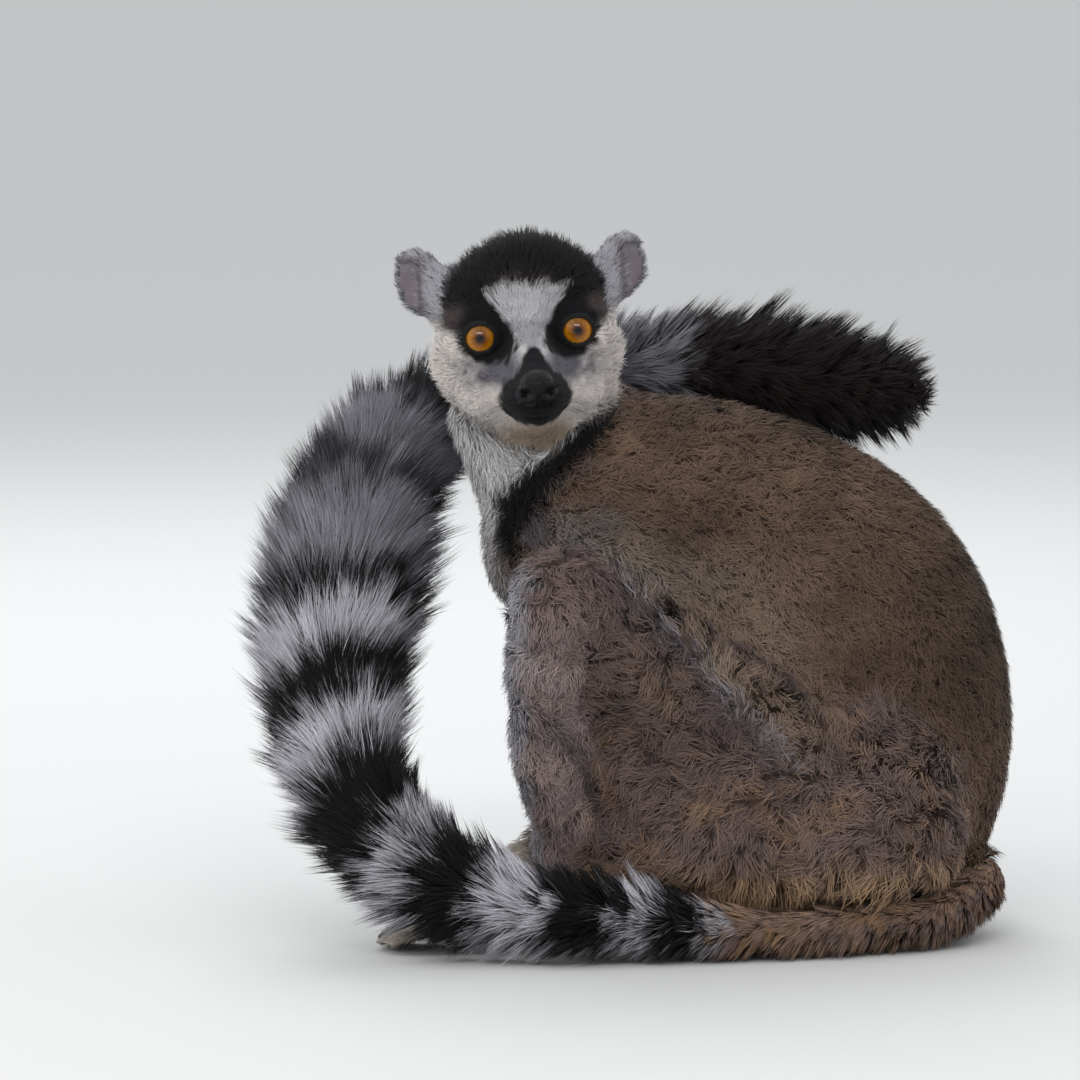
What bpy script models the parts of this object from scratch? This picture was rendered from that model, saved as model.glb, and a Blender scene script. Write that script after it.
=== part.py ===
"""A ring-tailed lemur sitting hunched with its knees up, its head turned to its left and its tail
wound forward round its feet, up in front of its chest and back over its shoulders. Life size.

Every solid is the outer form of one part of the body, out to the tips of its coat. Where two
parts press on each other the one made later is hollowed to fit the earlier, with a hairline gap.
Distances are in millimetres here and become metres when a form is made.
The body faces -X, its left side faces -Y, and the floor is at Z = 0."""

import math

import bmesh
import bpy
from mathutils import Matrix, Vector
from mathutils.bvhtree import BVHTree

MM = 0.001
GAP = 0.3 * MM  # hairline between two parts that press on each other
LEFT, RIGHT = -1, 1  # side of the body, as a sign on Y
SIDES = {"left": LEFT, "right": RIGHT}

# Head: its own axes are a (towards its left ear), b (up) and c (forward), from between the eyes.
HEAD_AT = Vector((-50.3, -40.0, 201.0))
HEAD_LIFT = math.radians(3.3)
HEAD_TILT = math.radians(4.6)
HEAD_TURN = math.radians(3)
EYE_APART = 16.0  # from the middle of the face to the middle of an eye
EYE_RADIUS = 7.8
EYE_SUNK = 6.7  # how far the middle of the eyeball lies behind the face

# Joints of the left limbs, with the right ones mirrored.
KNEE = (-39.0, 73.0, 119.0)
ANKLE = (-35.0, 38.0, 17.0)
SHOULDER = (-30.0, 19.0, 140.0)
ELBOW = (2.0, 24.0, 70.0)
WRIST = (-52.0, 14.5, 21.0)
FOOT_HEEL, FOOT_SPLAY = (-12.0, 36.0), math.radians(7)
HAND_SPLAY = math.radians(3)
PAD_HEIGHT = 0.96  # middle of a pad over the floor, in half thicknesses of its digit

# Back and belly: (x, z) of the middle of the trunk and its half depth there, from the shoulders
# round the hunched back to the seat.
TRUNK_ROUTE = (
    ((-34, 150), 34),
    ((-5, 139), 43),
    ((28, 127), 46),
    ((54, 109), 46.5),
    ((66, 82), 46),
    ((67, 55), 45),
    ((65, 40), 41.5),
)
TRUNK_BREADTH = 0.89  # half width over half depth

# Tail: points along its middle with the radius of the brush, from root to tip.
TAIL_ROUTE = (
    ((90, -4, 32), 12.5),
    ((100, -22, 20), 12.5),
    ((90, -44, 11.6), 12.4),
    ((66, -61, 10.8), 11.8),
    ((38, -71, 10.8), 11.9),
    ((12, -78, 11.8), 12.9),
    ((-14, -82, 14.2), 15.3),
    ((-38, -84, 16.8), 17.9),
    ((-60, -83, 18.6), 18.8),
    ((-79, -77, 25), 21.5),
    ((-95, -66, 36), 23),
    ((-106.5, -50, 52), 25),
    ((-114, -36, 67), 26.5),
    ((-117, -22, 84), 28),
    ((-115.5, -10, 103), 31),
    ((-111, 0, 119), 31.5),
    ((-104, 10, 134), 31),
    ((-95, 19, 149), 29),
    ((-86, 29, 162), 26),
    ((-68, 40, 171), 23.5),
    ((-42, 47, 178), 22.5),
    ((-13, 41, 182), 22),
    ((7, 35, 184), 22),
    ((27, 31, 184), 22),
    ((47, 27, 180), 21.5),
    ((62, 23, 173), 19.5),
    ((75, 19, 166), 15.5),
    ((83, 17, 161), 8),
)
TAIL_PIECES = 6

COLOURS = {
    "coat_back": (0.20, 0.155, 0.12),
    "coat_pale": (0.62, 0.58, 0.53),
    "coat_dark": (0.025, 0.022, 0.024),
    "bare_skin": (0.02, 0.02, 0.023),
    "eye": (0.75, 0.33, 0.03),
}
ROUGHNESS = {"bare_skin": 0.5, "eye": 0.06}


def clear_scene():
    for thing in list(bpy.data.objects):
        bpy.data.objects.remove(thing)


def new_collection(name):
    made = bpy.data.collections.new(name)
    bpy.context.scene.collection.children.link(made)
    return made


def make_materials():
    """One Principled BSDF for each finish of coat, skin and eye."""
    made = {}
    for name, colour in COLOURS.items():
        material = bpy.data.materials.new(name)
        material.use_nodes = True
        shader = material.node_tree.nodes["Principled BSDF"]
        shader.inputs["Base Color"].default_value = (*colour, 1)
        shader.inputs["Roughness"].default_value = ROUGHNESS.get(name, 0.85)
        shader.inputs["Metallic"].default_value = 0
        made[name] = material
    return made


def mirrored(point, side):
    """A point given for the left side as (x, distance from the middle, z), put on either side."""
    return Vector((point[0], side * point[1], point[2]))


def smooth_route(route, steps=4):
    """Catmull-Rom points through a route of (point, radius), with steps points to each stretch."""
    ends = [route[0], *route, route[-1]]
    found = []
    for i in range(len(route) - 1):
        stretch = [Vector((*p, r)) for p, r in ends[i : i + 4]]
        for k in range(steps):
            t = k / steps
            before, start, end, after = stretch
            found.append(
                0.5
                * (
                    2 * start
                    + (end - before) * t
                    + (2 * before - 5 * start + 4 * end - after) * t**2
                    + (3 * start - before - 3 * end + after) * t**3
                )
            )
    found.append(Vector((*route[-1][0], route[-1][1])))
    return [(Vector(p[:3]), p[3]) for p in found]


def add_ball(form, centre, radii, axes=None):
    """An ellipsoid in a form, its radii along the axes given, or along X, Y and Z."""
    turn = (axes or Matrix.Identity(3)).to_4x4()
    place = Matrix.Translation(Vector(centre) * MM) @ turn
    size = Matrix.Diagonal((*(Vector(radii) * MM), 1))
    bmesh.ops.create_uvsphere(form, u_segments=24, v_segments=16, radius=1, matrix=place @ size)


def add_limb(form, route, flatten=(1, 1, 1), sides=5):
    """A tube of changing radius with round ends, from a bevelled poly curve, in a form.
    flatten scales it about the world axes."""
    curve = bpy.data.curves.new("limb", "CURVE")
    curve.dimensions = "3D"
    curve.bevel_depth = MM
    curve.bevel_resolution = sides
    curve.use_fill_caps = True
    points = smooth_route(route)
    spline = curve.splines.new("POLY")
    spline.points.add(len(points) - 1)
    for control, (place, radius) in zip(spline.points, points):
        control.co = (*(place * MM), 1)
        control.radius = radius
    guide = bpy.data.objects.new("limb", curve)
    bpy.context.scene.collection.objects.link(guide)
    bpy.context.view_layer.update()
    graph = bpy.context.evaluated_depsgraph_get()
    mesh = bpy.data.meshes.new_from_object(guide.evaluated_get(graph))
    mesh.transform(Matrix.Diagonal((*flatten, 1)))
    form.from_mesh(mesh)
    bpy.data.objects.remove(guide)
    bpy.data.meshes.remove(mesh)
    for place, radius in (points[0], points[-1]):
        squashed = [radius * f for f in flatten]
        add_ball(form, [p * f for p, f in zip(place, flatten)], squashed)


def evaluated_mesh(thing):
    bpy.context.view_layer.update()
    graph = bpy.context.evaluated_depsgraph_get()
    return bpy.data.meshes.new_from_object(thing.evaluated_get(graph))


def freeze(thing):
    """Makes what the modifiers show the object's own mesh."""
    shown = evaluated_mesh(thing)
    thing.modifiers.clear()
    thing.data = shown
    return thing


def blend(name, form, voxel, rounding, triangles):
    """One smooth closed body from the overlapping balls and limbs of a form, in few triangles."""
    mesh = bpy.data.meshes.new(name)
    bmesh.ops.remove_doubles(form, verts=form.verts, dist=1e-6)
    form.to_mesh(mesh)
    form.free()
    body = bpy.data.objects.new(name, mesh)
    animal.objects.link(body)
    remesh = body.modifiers.new("one surface", "REMESH")
    remesh.mode = "VOXEL"
    remesh.voxel_size = voxel * MM
    smooth = body.modifiers.new("rounding", "SMOOTH")
    smooth.factor = 0.5
    smooth.iterations = rounding
    freeze(body)
    body.data.calc_loop_triangles()
    decimate = body.modifiers.new("facets", "DECIMATE")
    decimate.ratio = min(1, triangles / len(body.data.loop_triangles))
    decimate.use_collapse_triangulate = True
    return freeze(body)


def head_axes():
    """The head's a, b and c axes as columns, after it is lifted and tilted."""
    forward = Vector((0, -math.cos(HEAD_LIFT), math.sin(HEAD_LIFT)))
    forward.rotate(Matrix.Rotation(HEAD_TURN, 3, "Z"))
    across = Vector((math.cos(HEAD_TURN), math.sin(HEAD_TURN), 0))
    upright = Matrix((across, forward.cross(across), forward)).transposed()
    return Matrix.Rotation(HEAD_TILT, 3, forward) @ upright


def on_head(a, b, c):
    return HEAD_AT + head_axes() @ Vector((a, b, c))


def head():
    """Skull, cheeks, muzzle, jaw and the lids round the eyes."""
    form = bmesh.new()
    axes = head_axes()
    add_ball(form, on_head(0, 9, -24), (27.5, 25, 28), axes)
    add_ball(form, on_head(0, 3, -10), (22, 17, 14), axes)
    for side in (-1, 1):
        add_ball(form, on_head(side * 17, -6, -21), (17.5, 17, 19), axes)
        add_ball(form, on_head(side * 13, -14, -8), (13, 12, 14), axes)
        add_ball(form, on_head(side * EYE_APART, 0.5, -EYE_SUNK - 1.3), (11.8, 10.6, 8.8), axes)
    bridge = (((0, 0, -6), 12), ((0, -6, 5), 9.5), ((0, -12, 15), 8.2), ((0, -16, 23), 7.4))
    add_limb(form, [(on_head(*p), r) for p, r in bridge])
    for side in (-1, 1):
        lip = (((side * 6, -17, 2), 9), ((side * 4.4, -20, 14), 7.4), ((side * 3, -20.5, 21), 6))
        add_limb(form, [(on_head(*p), r) for p, r in lip])
    jaw = (((0, -22, -22), 14), ((0, -25, 0), 9), ((0, -26, 16), 4.8))
    add_limb(form, [(on_head(*p), r) for p, r in jaw])
    made = blend("head", form, 1.6, 3, 1000)
    for side in (-1, 1):
        slit = bmesh.new()
        add_ball(slit, on_head(side * EYE_APART, 0, 2), (5.4, 4.8, 6), axes)
        hollow = blend("eye opening", slit, 1, 0, 70)
        animal.objects.unlink(hollow)
        freeze(cut_with(made, keep_as_cutter(hollow)))
    return made


def nose():
    """The bare moist pad round the nostrils."""
    form = bmesh.new()
    add_ball(form, on_head(0, -16.4, 27), (6.6, 4.9, 4.8), head_axes())
    add_ball(form, on_head(0, -20.5, 27.6), (2.2, 4, 2.6), head_axes())
    return blend("nose", form, 0.9, 2, 120)


def eye(side_name, side):
    """The eyeball. The head's left is its own +a."""
    form = bmesh.new()
    add_ball(form, on_head(-side * EYE_APART, 0, -EYE_SUNK), (EYE_RADIUS,) * 3, head_axes())
    return blend(f"eye_{side_name}", form, 1.2, 0, 110)


def ear(side_name, side):
    """A cupped leaf, open to the front and outwards."""
    out = -side
    form = bmesh.new()
    turn = Matrix.Rotation(math.radians(-18 * out), 3, "Z")
    turn = Matrix.Rotation(math.radians(20 * out), 3, "Y") @ turn
    axes = head_axes() @ turn
    add_ball(form, on_head(out * 32.5, 18.5, -21), (10, 14, 4.6), axes)
    add_ball(form, on_head(out * 27, 11, -21), (7.5, 8.5, 5.5), axes)
    made = blend(f"ear_{side_name}", form, 1.1, 3, 150)
    bowl = bmesh.new()
    add_ball(bowl, on_head(out * 33.5, 18, -21) + axes @ Vector((0, 0, 5.4)), (7.4, 11, 5.4), axes)
    hollow = blend(f"ear bowl {side_name}", bowl, 1.1, 0, 110)
    animal.objects.unlink(hollow)
    return freeze(cut_with(made, keep_as_cutter(hollow)))


def trunk():
    """Shoulders, back, belly and seat: one barrel bent to the hunched back."""
    form = bmesh.new()
    add_limb(form, [((x, 0, z), r) for (x, z), r in TRUNK_ROUTE], (1, TRUNK_BREADTH, 1), 7)
    for side in SIDES.values():
        add_ball(form, mirrored((-28, 17, 146), side), (26, 22, 29))
        add_ball(form, mirrored((40, 17, 100), side), (40, 27, 44))
    add_ball(form, (-38.5, 0, 130), (30, 27, 34))
    return blend("trunk", form, 4.5, 6, 500)


def neck():
    """The furry neck, bent up from the shoulders to the turned head."""
    form = bmesh.new()
    throat = (((-38, 0, 150), 29), ((-44, 0, 162), 29), ((-49, -1, 176), 27), ((-51, 1, 192), 25))
    add_limb(form, throat)
    return blend("neck", form, 3, 4, 160)


def thigh(side_name, side):
    """Thigh and haunch, from the seat up to the knee."""
    form = bmesh.new()
    route = (
        ((60, 32, 44), 35),
        ((34, 44, 53), 32.5),
        ((6, 56, 78), 26.5),
        ((-18, 66, 102), 20.5),
        ((-31, 70, 114), 15.5),
    )
    add_limb(form, [(mirrored(p, side), r) for p, r in route])
    add_ball(form, mirrored((52, 42, 35), side), (42, 35, 37))
    add_ball(form, mirrored((8, 55, 37), side), (28, 22, 27))
    add_ball(form, mirrored((-6, 57, 62), side), (21, 19, 32))
    add_ball(form, mirrored((-16, 50, 36), side), (15, 17, 20))
    return blend(f"thigh_{side_name}", form, 3.5, 6, 260)


def shank(side_name, side):
    """Lower leg, from the knee down to the ankle."""
    form = bmesh.new()
    route = (
        (KNEE, 17.5),
        ((-41.5, 62, 94), 17),
        ((-41.5, 50, 66), 16),
        ((-38, 40, 38), 13),
        (ANKLE, 10.5),
    )
    add_limb(form, [(mirrored(p, side), r) for p, r in route])
    return blend(f"shank_{side_name}", form, 2.6, 4, 190)


def digit(form, root, heading, length, thickness, arch):
    """A finger or toe from its root: up over the knuckle, then down onto its pad."""
    along = Vector((-math.cos(heading), -math.sin(heading), 0))
    tip = root + along * length
    middle = root + along * length * 0.5 + Vector((0, 0, arch))
    pad = Vector((tip.x, tip.y, thickness * PAD_HEIGHT))
    add_limb(form, ((root, thickness * 1.15), (middle, thickness), (pad, thickness)), sides=3)


def foot(side_name, side):
    """Heel, instep and five toes, the first set apart like a thumb."""
    form = bmesh.new()
    heading = -side * FOOT_SPLAY
    ahead = Vector((-math.cos(heading), -math.sin(heading), 0))
    inward = Vector((0, -side, 0))
    heel = mirrored((*FOOT_HEEL, 0), side)
    ankle = mirrored(ANKLE, side)
    sole = ((heel + Vector((0, 0, 8)), 8), (heel + ahead * 22 + Vector((0, 0, 9)), 9.5))
    instep = ((ankle, 10.5), (heel + ahead * 34 + Vector((0, 0, 9.5)), 9.2))
    for route in (sole, instep):
        add_limb(form, route)
    toes = ((7, 8, 26), (2.4, 3, 30), (-2.6, -3, 32), (-7.2, -10, 28))
    for across, spread, length in toes:
        back = heel + ahead * 30 + inward * across * 0.6 + Vector((0, 0, 8))
        root = heel + ahead * 57 + inward * across + Vector((0, 0, 6.4))
        add_limb(form, ((back, 7), (root, 4.6)))
        digit(form, root, heading + side * math.radians(spread), length, 3.3, 0.8)
    thumb_root = heel + ahead * 30 + inward * 5 + Vector((0, 0, 6))
    digit(form, thumb_root, heading + side * math.radians(38), 27, 3.8, 1.2)
    return blend(f"foot_{side_name}", form, 1.5, 2, 350)


def arm(side_name, side):
    """Upper arm and forearm in one, from inside the shoulder round the elbow to the wrist."""
    form = bmesh.new()
    upper = Vector(SHOULDER).lerp(Vector(ELBOW), 0.5) + Vector((2, 1, 0))
    lower = Vector(ELBOW).lerp(Vector(WRIST), 0.5) + Vector((0, 0, 2))
    above = ((SHOULDER, 16), (upper, 14), (ELBOW, 11.5))
    below = ((ELBOW, 11.5), (lower, 10), (WRIST, 7.5))
    for route in (above, below):
        add_limb(form, [(mirrored(p, side), r) for p, r in route])
    return blend(f"arm_{side_name}", form, 2.6, 4, 260)


def hand(side_name, side):
    """Palm flat on the floor, four fingers ahead and a thumb turned inwards."""
    form = bmesh.new()
    heading = -side * HAND_SPLAY
    ahead = Vector((-math.cos(heading), -math.sin(heading), 0))
    inward = Vector((0, -side, 0))
    wrist = mirrored(WRIST, side)
    palm = Vector((wrist.x, wrist.y, 0)) + ahead * 8
    add_limb(form, ((wrist, 8), (palm + Vector((0, 0, 9)), 8)))
    fingers = ((6, 7, 18), (2, 2.5, 21), (-2.2, -3, 22), (-6.2, -9, 19))
    for across, spread, length in fingers:
        back = palm + inward * across * 0.6 + Vector((0, 0, 7))
        root = palm + ahead * 12 + inward * across + Vector((0, 0, 5.6))
        add_limb(form, ((back, 5.5), (root, 3.9)))
        digit(form, root, heading + side * math.radians(spread), length, 2.8, 1.6)
    thumb_root = palm + ahead * 3 + inward * 5 + Vector((0, 0, 5))
    digit(form, thumb_root, heading + side * math.radians(34), 13, 2.9, 1.2)
    return blend(f"hand_{side_name}", form, 1.35, 2, 290)


def tail():
    """The brush of the tail, parted by thin cuts square to it into even lengths."""
    form = bmesh.new()
    add_limb(form, TAIL_ROUTE, sides=6)
    brush = blend("tail", form, 4.2, 6, 820)
    last = len(TAIL_ROUTE) - 1
    points = [Vector(p) for p, _ in TAIL_ROUTE]
    saw = bmesh.new()
    for k in range(1, TAIL_PIECES):
        at = round(last * k / TAIL_PIECES)
        along = (points[at + 1] - points[at - 1]).to_track_quat("Z", "Y").to_matrix().to_4x4()
        place = Matrix.Translation(points[at] * MM) @ along
        reach = (TAIL_ROUTE[at][1] * 1.25 + 3) * MM
        bmesh.ops.create_cone(
            saw, cap_ends=True, segments=16, radius1=reach, radius2=reach, depth=GAP, matrix=place
        )
    freeze(cut_with(brush, as_cutter(saw, "tail cuts")))
    lengths = loose_bodies(brush)
    lengths.sort(key=lambda b: nearest_point(points, b))
    for k, length in enumerate(lengths):
        length.name = f"tail_{k + 1}"
    return lengths


def nearest_point(points, body):
    """Which of the points, by number, a body's own middle lies nearest to."""
    middle = sum((v.co for v in body.data.vertices), Vector()) / len(body.data.vertices) / MM
    return min(range(len(points)), key=lambda i: (points[i] - middle).length)


def loose_bodies(whole):
    """Each closed body of an object as an object of its own."""
    found = []
    form = bmesh.new()
    form.from_mesh(whole.data)
    left = set(form.verts)
    while left:
        group, edge_of_group = set(), [next(v for v in form.verts if v in left)]
        while edge_of_group:
            vert = edge_of_group.pop()
            if vert not in group:
                group.add(vert)
                edge_of_group += [e.other_vert(vert) for e in vert.link_edges]
        left -= group
        keep = {v.index for v in group}
        single = bmesh.new()
        single.from_mesh(whole.data)
        others = [v for v in single.verts if v.index not in keep]
        bmesh.ops.delete(single, geom=others, context="VERTS")
        mesh = bpy.data.meshes.new("body")
        single.to_mesh(mesh)
        single.free()
        body = bpy.data.objects.new("body", mesh)
        animal.objects.link(body)
        found.append(body)
    form.free()
    bpy.data.objects.remove(whole)
    return found


def as_cutter(form, name):
    mesh = bpy.data.meshes.new(name)
    form.to_mesh(mesh)
    form.free()
    return keep_as_cutter(bpy.data.objects.new(name, mesh))


def keep_as_cutter(thing):
    thing.hide_render = True
    thing.display_type = "WIRE"
    cutters.objects.link(thing)
    return thing


def cut_with(thing, cutter):
    boolean = thing.modifiers.new("cut", "BOOLEAN")
    boolean.operation = "DIFFERENCE"
    boolean.solver = "EXACT"
    boolean.object = cutter
    return thing


def grown_copy(thing):
    """The same body, larger all round by the hairline gap."""
    copy = keep_as_cutter(bpy.data.objects.new(f"room for {thing.name}", thing.data.copy()))
    grow = copy.modifiers.new("gap", "DISPLACE")
    grow.strength = GAP
    grow.mid_level = 0
    return freeze(copy)


def surfaces_cross(one, other):
    trees = [
        BVHTree.FromPolygons([v.co for v in t.data.vertices], [p.vertices for p in t.data.polygons])
        for t in (one, other)
    ]
    return bool(trees[0].overlap(trees[1]))


def fit_together(pieces):
    """Hollows each piece where an earlier one presses into it."""
    rooms = []
    for piece in pieces:
        pressing = [room for room in rooms if surfaces_cross(piece, room)]
        rooms.append(grown_copy(piece))
        for room in pressing:
            cut_with(piece, room)
        freeze(piece)


def stand_on_floor(pieces):
    """Flattens what would reach under the floor, and sets the origin under the middle."""
    floor = bmesh.new()
    thick = 200 * MM
    place = Matrix.Translation((0, 0, -thick / 2)) @ Matrix.Diagonal((1, 1, thick, 1))
    bmesh.ops.create_cube(floor, size=1, matrix=place)
    ground = as_cutter(floor, "floor")
    for piece in pieces:
        if min(v.co.z for v in piece.data.vertices) < 0:
            cut_with(piece, ground)
            freeze(piece)
    corners = [v.co for piece in pieces for v in piece.data.vertices]
    middle = [(min(c[i] for c in corners) + max(c[i] for c in corners)) / 2 for i in (0, 1)]
    low = min(c.z for c in corners)
    for piece in pieces:
        piece.data.transform(Matrix.Translation((-middle[0], -middle[1], -low)))


def finish_of(name):
    if name.startswith("eye"):
        return "eye"
    if name == "nose":
        return "bare_skin"
    if name in ("head", "neck") or name.startswith(("ear", "foot", "hand")):
        return "coat_pale"
    return "coat_dark" if name.startswith("tail") else "coat_back"


clear_scene()
animal = new_collection("ring-tailed lemur")
cutters = new_collection("cutters")
finishes = make_materials()

ordered = [eye(*s) for s in SIDES.items()] + [nose(), head(), neck(), trunk(), *tail()]
for make in (hand, foot, arm, shank, thigh, ear):
    ordered += [make(*s) for s in SIDES.items()]
for solid in ordered:
    freeze(solid)
fit_together(ordered)
stand_on_floor(ordered)
for solid in ordered:
    solid.data.materials.clear()
    solid.data.materials.append(finishes[finish_of(solid.name)])
    solid.data.shade_smooth()
for unused in list(cutters.objects):
    bpy.data.objects.remove(unused)
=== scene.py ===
"""A ring-tailed lemur sitting hunched, life size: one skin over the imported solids, with eyes, nails,
whiskers and a coat of solid tufts that lies as the animal's own does."""

import heapq
import math

import bmesh
import bpy
import numpy as np
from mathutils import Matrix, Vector
from mathutils.bvhtree import BVHTree
from mathutils.kdtree import KDTree


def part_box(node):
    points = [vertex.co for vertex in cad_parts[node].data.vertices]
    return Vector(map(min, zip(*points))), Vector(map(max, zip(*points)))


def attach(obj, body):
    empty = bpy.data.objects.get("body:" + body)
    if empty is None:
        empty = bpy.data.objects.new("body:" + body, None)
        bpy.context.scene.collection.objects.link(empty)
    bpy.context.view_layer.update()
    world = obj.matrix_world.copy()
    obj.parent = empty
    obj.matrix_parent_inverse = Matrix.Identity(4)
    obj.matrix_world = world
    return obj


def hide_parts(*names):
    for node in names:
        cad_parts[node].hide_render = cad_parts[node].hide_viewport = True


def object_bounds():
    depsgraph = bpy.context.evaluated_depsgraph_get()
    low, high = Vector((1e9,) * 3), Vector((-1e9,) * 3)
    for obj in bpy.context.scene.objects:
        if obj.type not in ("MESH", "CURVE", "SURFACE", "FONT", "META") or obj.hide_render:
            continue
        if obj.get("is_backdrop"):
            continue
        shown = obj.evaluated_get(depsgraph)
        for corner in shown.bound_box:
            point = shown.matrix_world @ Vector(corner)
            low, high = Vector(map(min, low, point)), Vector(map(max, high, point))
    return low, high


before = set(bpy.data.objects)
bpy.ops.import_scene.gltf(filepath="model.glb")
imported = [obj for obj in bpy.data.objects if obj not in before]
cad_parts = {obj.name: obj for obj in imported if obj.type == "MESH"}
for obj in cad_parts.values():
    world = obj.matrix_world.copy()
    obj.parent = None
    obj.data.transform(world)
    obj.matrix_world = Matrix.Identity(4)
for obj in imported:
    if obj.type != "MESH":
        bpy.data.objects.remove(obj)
cad_low, cad_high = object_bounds()
scene = bpy.context.scene

# ------------------------------
# The viewpoint. A long lens about two metres off, a little above the height of the sitting
# animal's back, square to its left side.
VIEW_AIM = Vector((-0.030, 0.006, 0.130))
VIEW_OFF, VIEW_RISE, VIEW_WIDTH = 2.2, math.radians(5), 0.36


def placed(name, data):
    """A new object in the scene, made of a mesh, a lens or a lamp."""
    made = bpy.data.objects.new(name, data)
    scene.collection.objects.link(made)
    return made


lens = bpy.data.cameras.new("long lens")
lens.sensor_width = 36
lens.lens = lens.sensor_width * VIEW_OFF / VIEW_WIDTH
lens.clip_start, lens.clip_end = 0.1, 400
camera = placed("camera", lens)
camera.location = VIEW_AIM + VIEW_OFF * Vector((0, -math.cos(VIEW_RISE), math.sin(VIEW_RISE)))
camera.rotation_euler = (math.pi / 2 - VIEW_RISE, 0, 0)
scene.camera = camera

# ------------------------------
# The skin: the whole body under its coat as one sheet, from the nose pad to the tip of the thin
# tail inside the brush. It lies inside the solids by the depth of the coat over each part, and
# has its own lids, nostrils, lips and ear bowls.
MM = 0.001
ROUGH_GRAIN, SKIN_GRAIN, BRUSH_GRAIN = 2.2 * MM, 1.9 * MM, 3 * MM  # sides of a face
COAT_DEPTH = {
    "head": 1.3, "nose": 0.0, "ear": 0.6, "neck": 4.5, "trunk": 4.5, "arm": 3.5, "hand": -0.2,
    "thigh": 5.0, "shank": 4.0, "foot": -0.2,
}
CHEEK_DEPTH, RUFF_DEPTH, CROWN_DEPTH = 4.0, 2.0, 2.0
CREASE_ROUNDS, CREASE_FILL = 45, 6 * MM
LUMP_HIGH, LUMP_APART = 1.1 * MM, 19 * MM
EYE_APART, EYE_RADIUS, EYE_SUNK, EYE_OPEN = 16, 7.8, 6.7, 4.6
LID_THICK, LID_DEEP, LID_FOLD, LID_REACH = 0.75, 2.6, 2.6, 8.5
EAR_INNER, EAR_TOP = 32, 28
NOSTRIL_APART, NOSTRIL_RISE, NOSTRIL_DEEP, SLIT_LONG, SLIT_DEEP = 3.9, -18.2, 3.2, 2.6, 1.2
MOUTH_HALF, MOUTH_LOW, MOUTH_CURVE = 11, -26, 4.5
PARTS = ("head", "nose", "ear", "neck", "trunk", "arm", "hand", "thigh", "shank", "foot", "tail")
# each fold's top end and the way it runs, along X and Z, its length and its depth, in millimetres
FOLDS = {"flank": ((-8, 126), (0.671, -0.741), 85, 2.2), "calf": ((-22, 78), (0.41, -0.91), 42, 1.6)}
TAIL_STEP = 8 * MM  # between points along the middle of the tail
BARE_TAIL, THINNEST = 0.30, 2.2 * MM  # radius of the tail inside its brush: share of it, and least
HAND_OFF, HAND_NEAR, HAND_FAR = 2.4 * MM, 3 * MM, 12 * MM


def part_of(node):
    return next(p for p in PARTS if node.startswith(p))


def read(rows, what, wide, kind=float):
    """One measure of all the points, edges or faces of a mesh, with a row for each."""
    found = np.empty(len(rows) * wide, dtype=kind)
    rows.foreach_get(what, found)
    return found.reshape(-1, wide)


def points_of(mesh):
    return read(mesh.vertices, "co", 3)


def edges_of(mesh):
    return read(mesh.edges, "vertices", 2, np.int64)


def unit(v):
    return v / np.maximum(np.linalg.norm(v, axis=-1, keepdims=True), 1e-12)


def norm(rows):
    return np.linalg.norm(rows, axis=-1)


def middle(node):
    low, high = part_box(node)
    return (np.array(low) + np.array(high)) / 2


def solids_of(nodes):
    """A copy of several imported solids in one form, each with its corners merged."""
    form = bmesh.new()
    for node in nodes:
        form.from_mesh(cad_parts[node].data)
    bmesh.ops.remove_doubles(form, verts=form.verts, dist=1e-6)
    return form


def mesh_of(form, name):
    mesh = bpy.data.meshes.new(name)
    form.to_mesh(mesh)
    form.free()
    return mesh


def seal(thing, grain, rounding):
    """Gives an object one closed surface of even faces round all that it holds."""
    remesh = thing.modifiers.new("one sheet", "REMESH")
    remesh.mode = "VOXEL"
    remesh.voxel_size = grain
    smooth = thing.modifiers.new("rounding", "SMOOTH")
    smooth.factor = 0.5
    smooth.iterations = rounding
    bpy.context.view_layer.update()
    graph = bpy.context.evaluated_depsgraph_get()
    shown = bpy.data.meshes.new_from_object(thing.evaluated_get(graph))
    thing.modifiers.clear()
    thing.data = shown


def evened(values, edges, rounds):
    """A value at each point of a mesh, averaged with its neighbours' a number of times."""
    count = np.bincount(edges.ravel(), minlength=len(values)).astype(float) + 1
    flat = values.reshape(len(values), -1).copy()
    for _ in range(rounds):
        total = flat.copy()
        for column in range(flat.shape[1]):
            total[:, column] += np.bincount(edges[:, 0], flat[edges[:, 1], column], len(flat))
            total[:, column] += np.bincount(edges[:, 1], flat[edges[:, 0], column], len(flat))
        flat = total / count[:, None]
    return flat.reshape(values.shape)


def ways_out(mesh, edges, rounds):
    """The way out of a mesh at each of its points, averaged with its neighbours'."""
    return unit(evened(read(mesh.vertex_normals, "vector", 3), edges, rounds))


def walked(places, edges, start):
    """How far each point of a mesh is from one of them, along its edges."""
    near = [[] for _ in places]
    for a, b in edges:
        near[a].append(b)
        near[b].append(a)
    far = np.full(len(places), np.inf)
    far[start] = 0
    queue = [(0.0, start)]
    while queue:
        gone, here = heapq.heappop(queue)
        if gone > far[here]:
            continue
        for there in near[here]:
            total = gone + float(np.linalg.norm(places[there] - places[here]))
            if total < far[there]:
                far[there] = total
                heapq.heappush(queue, (total, there))
    return far


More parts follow.
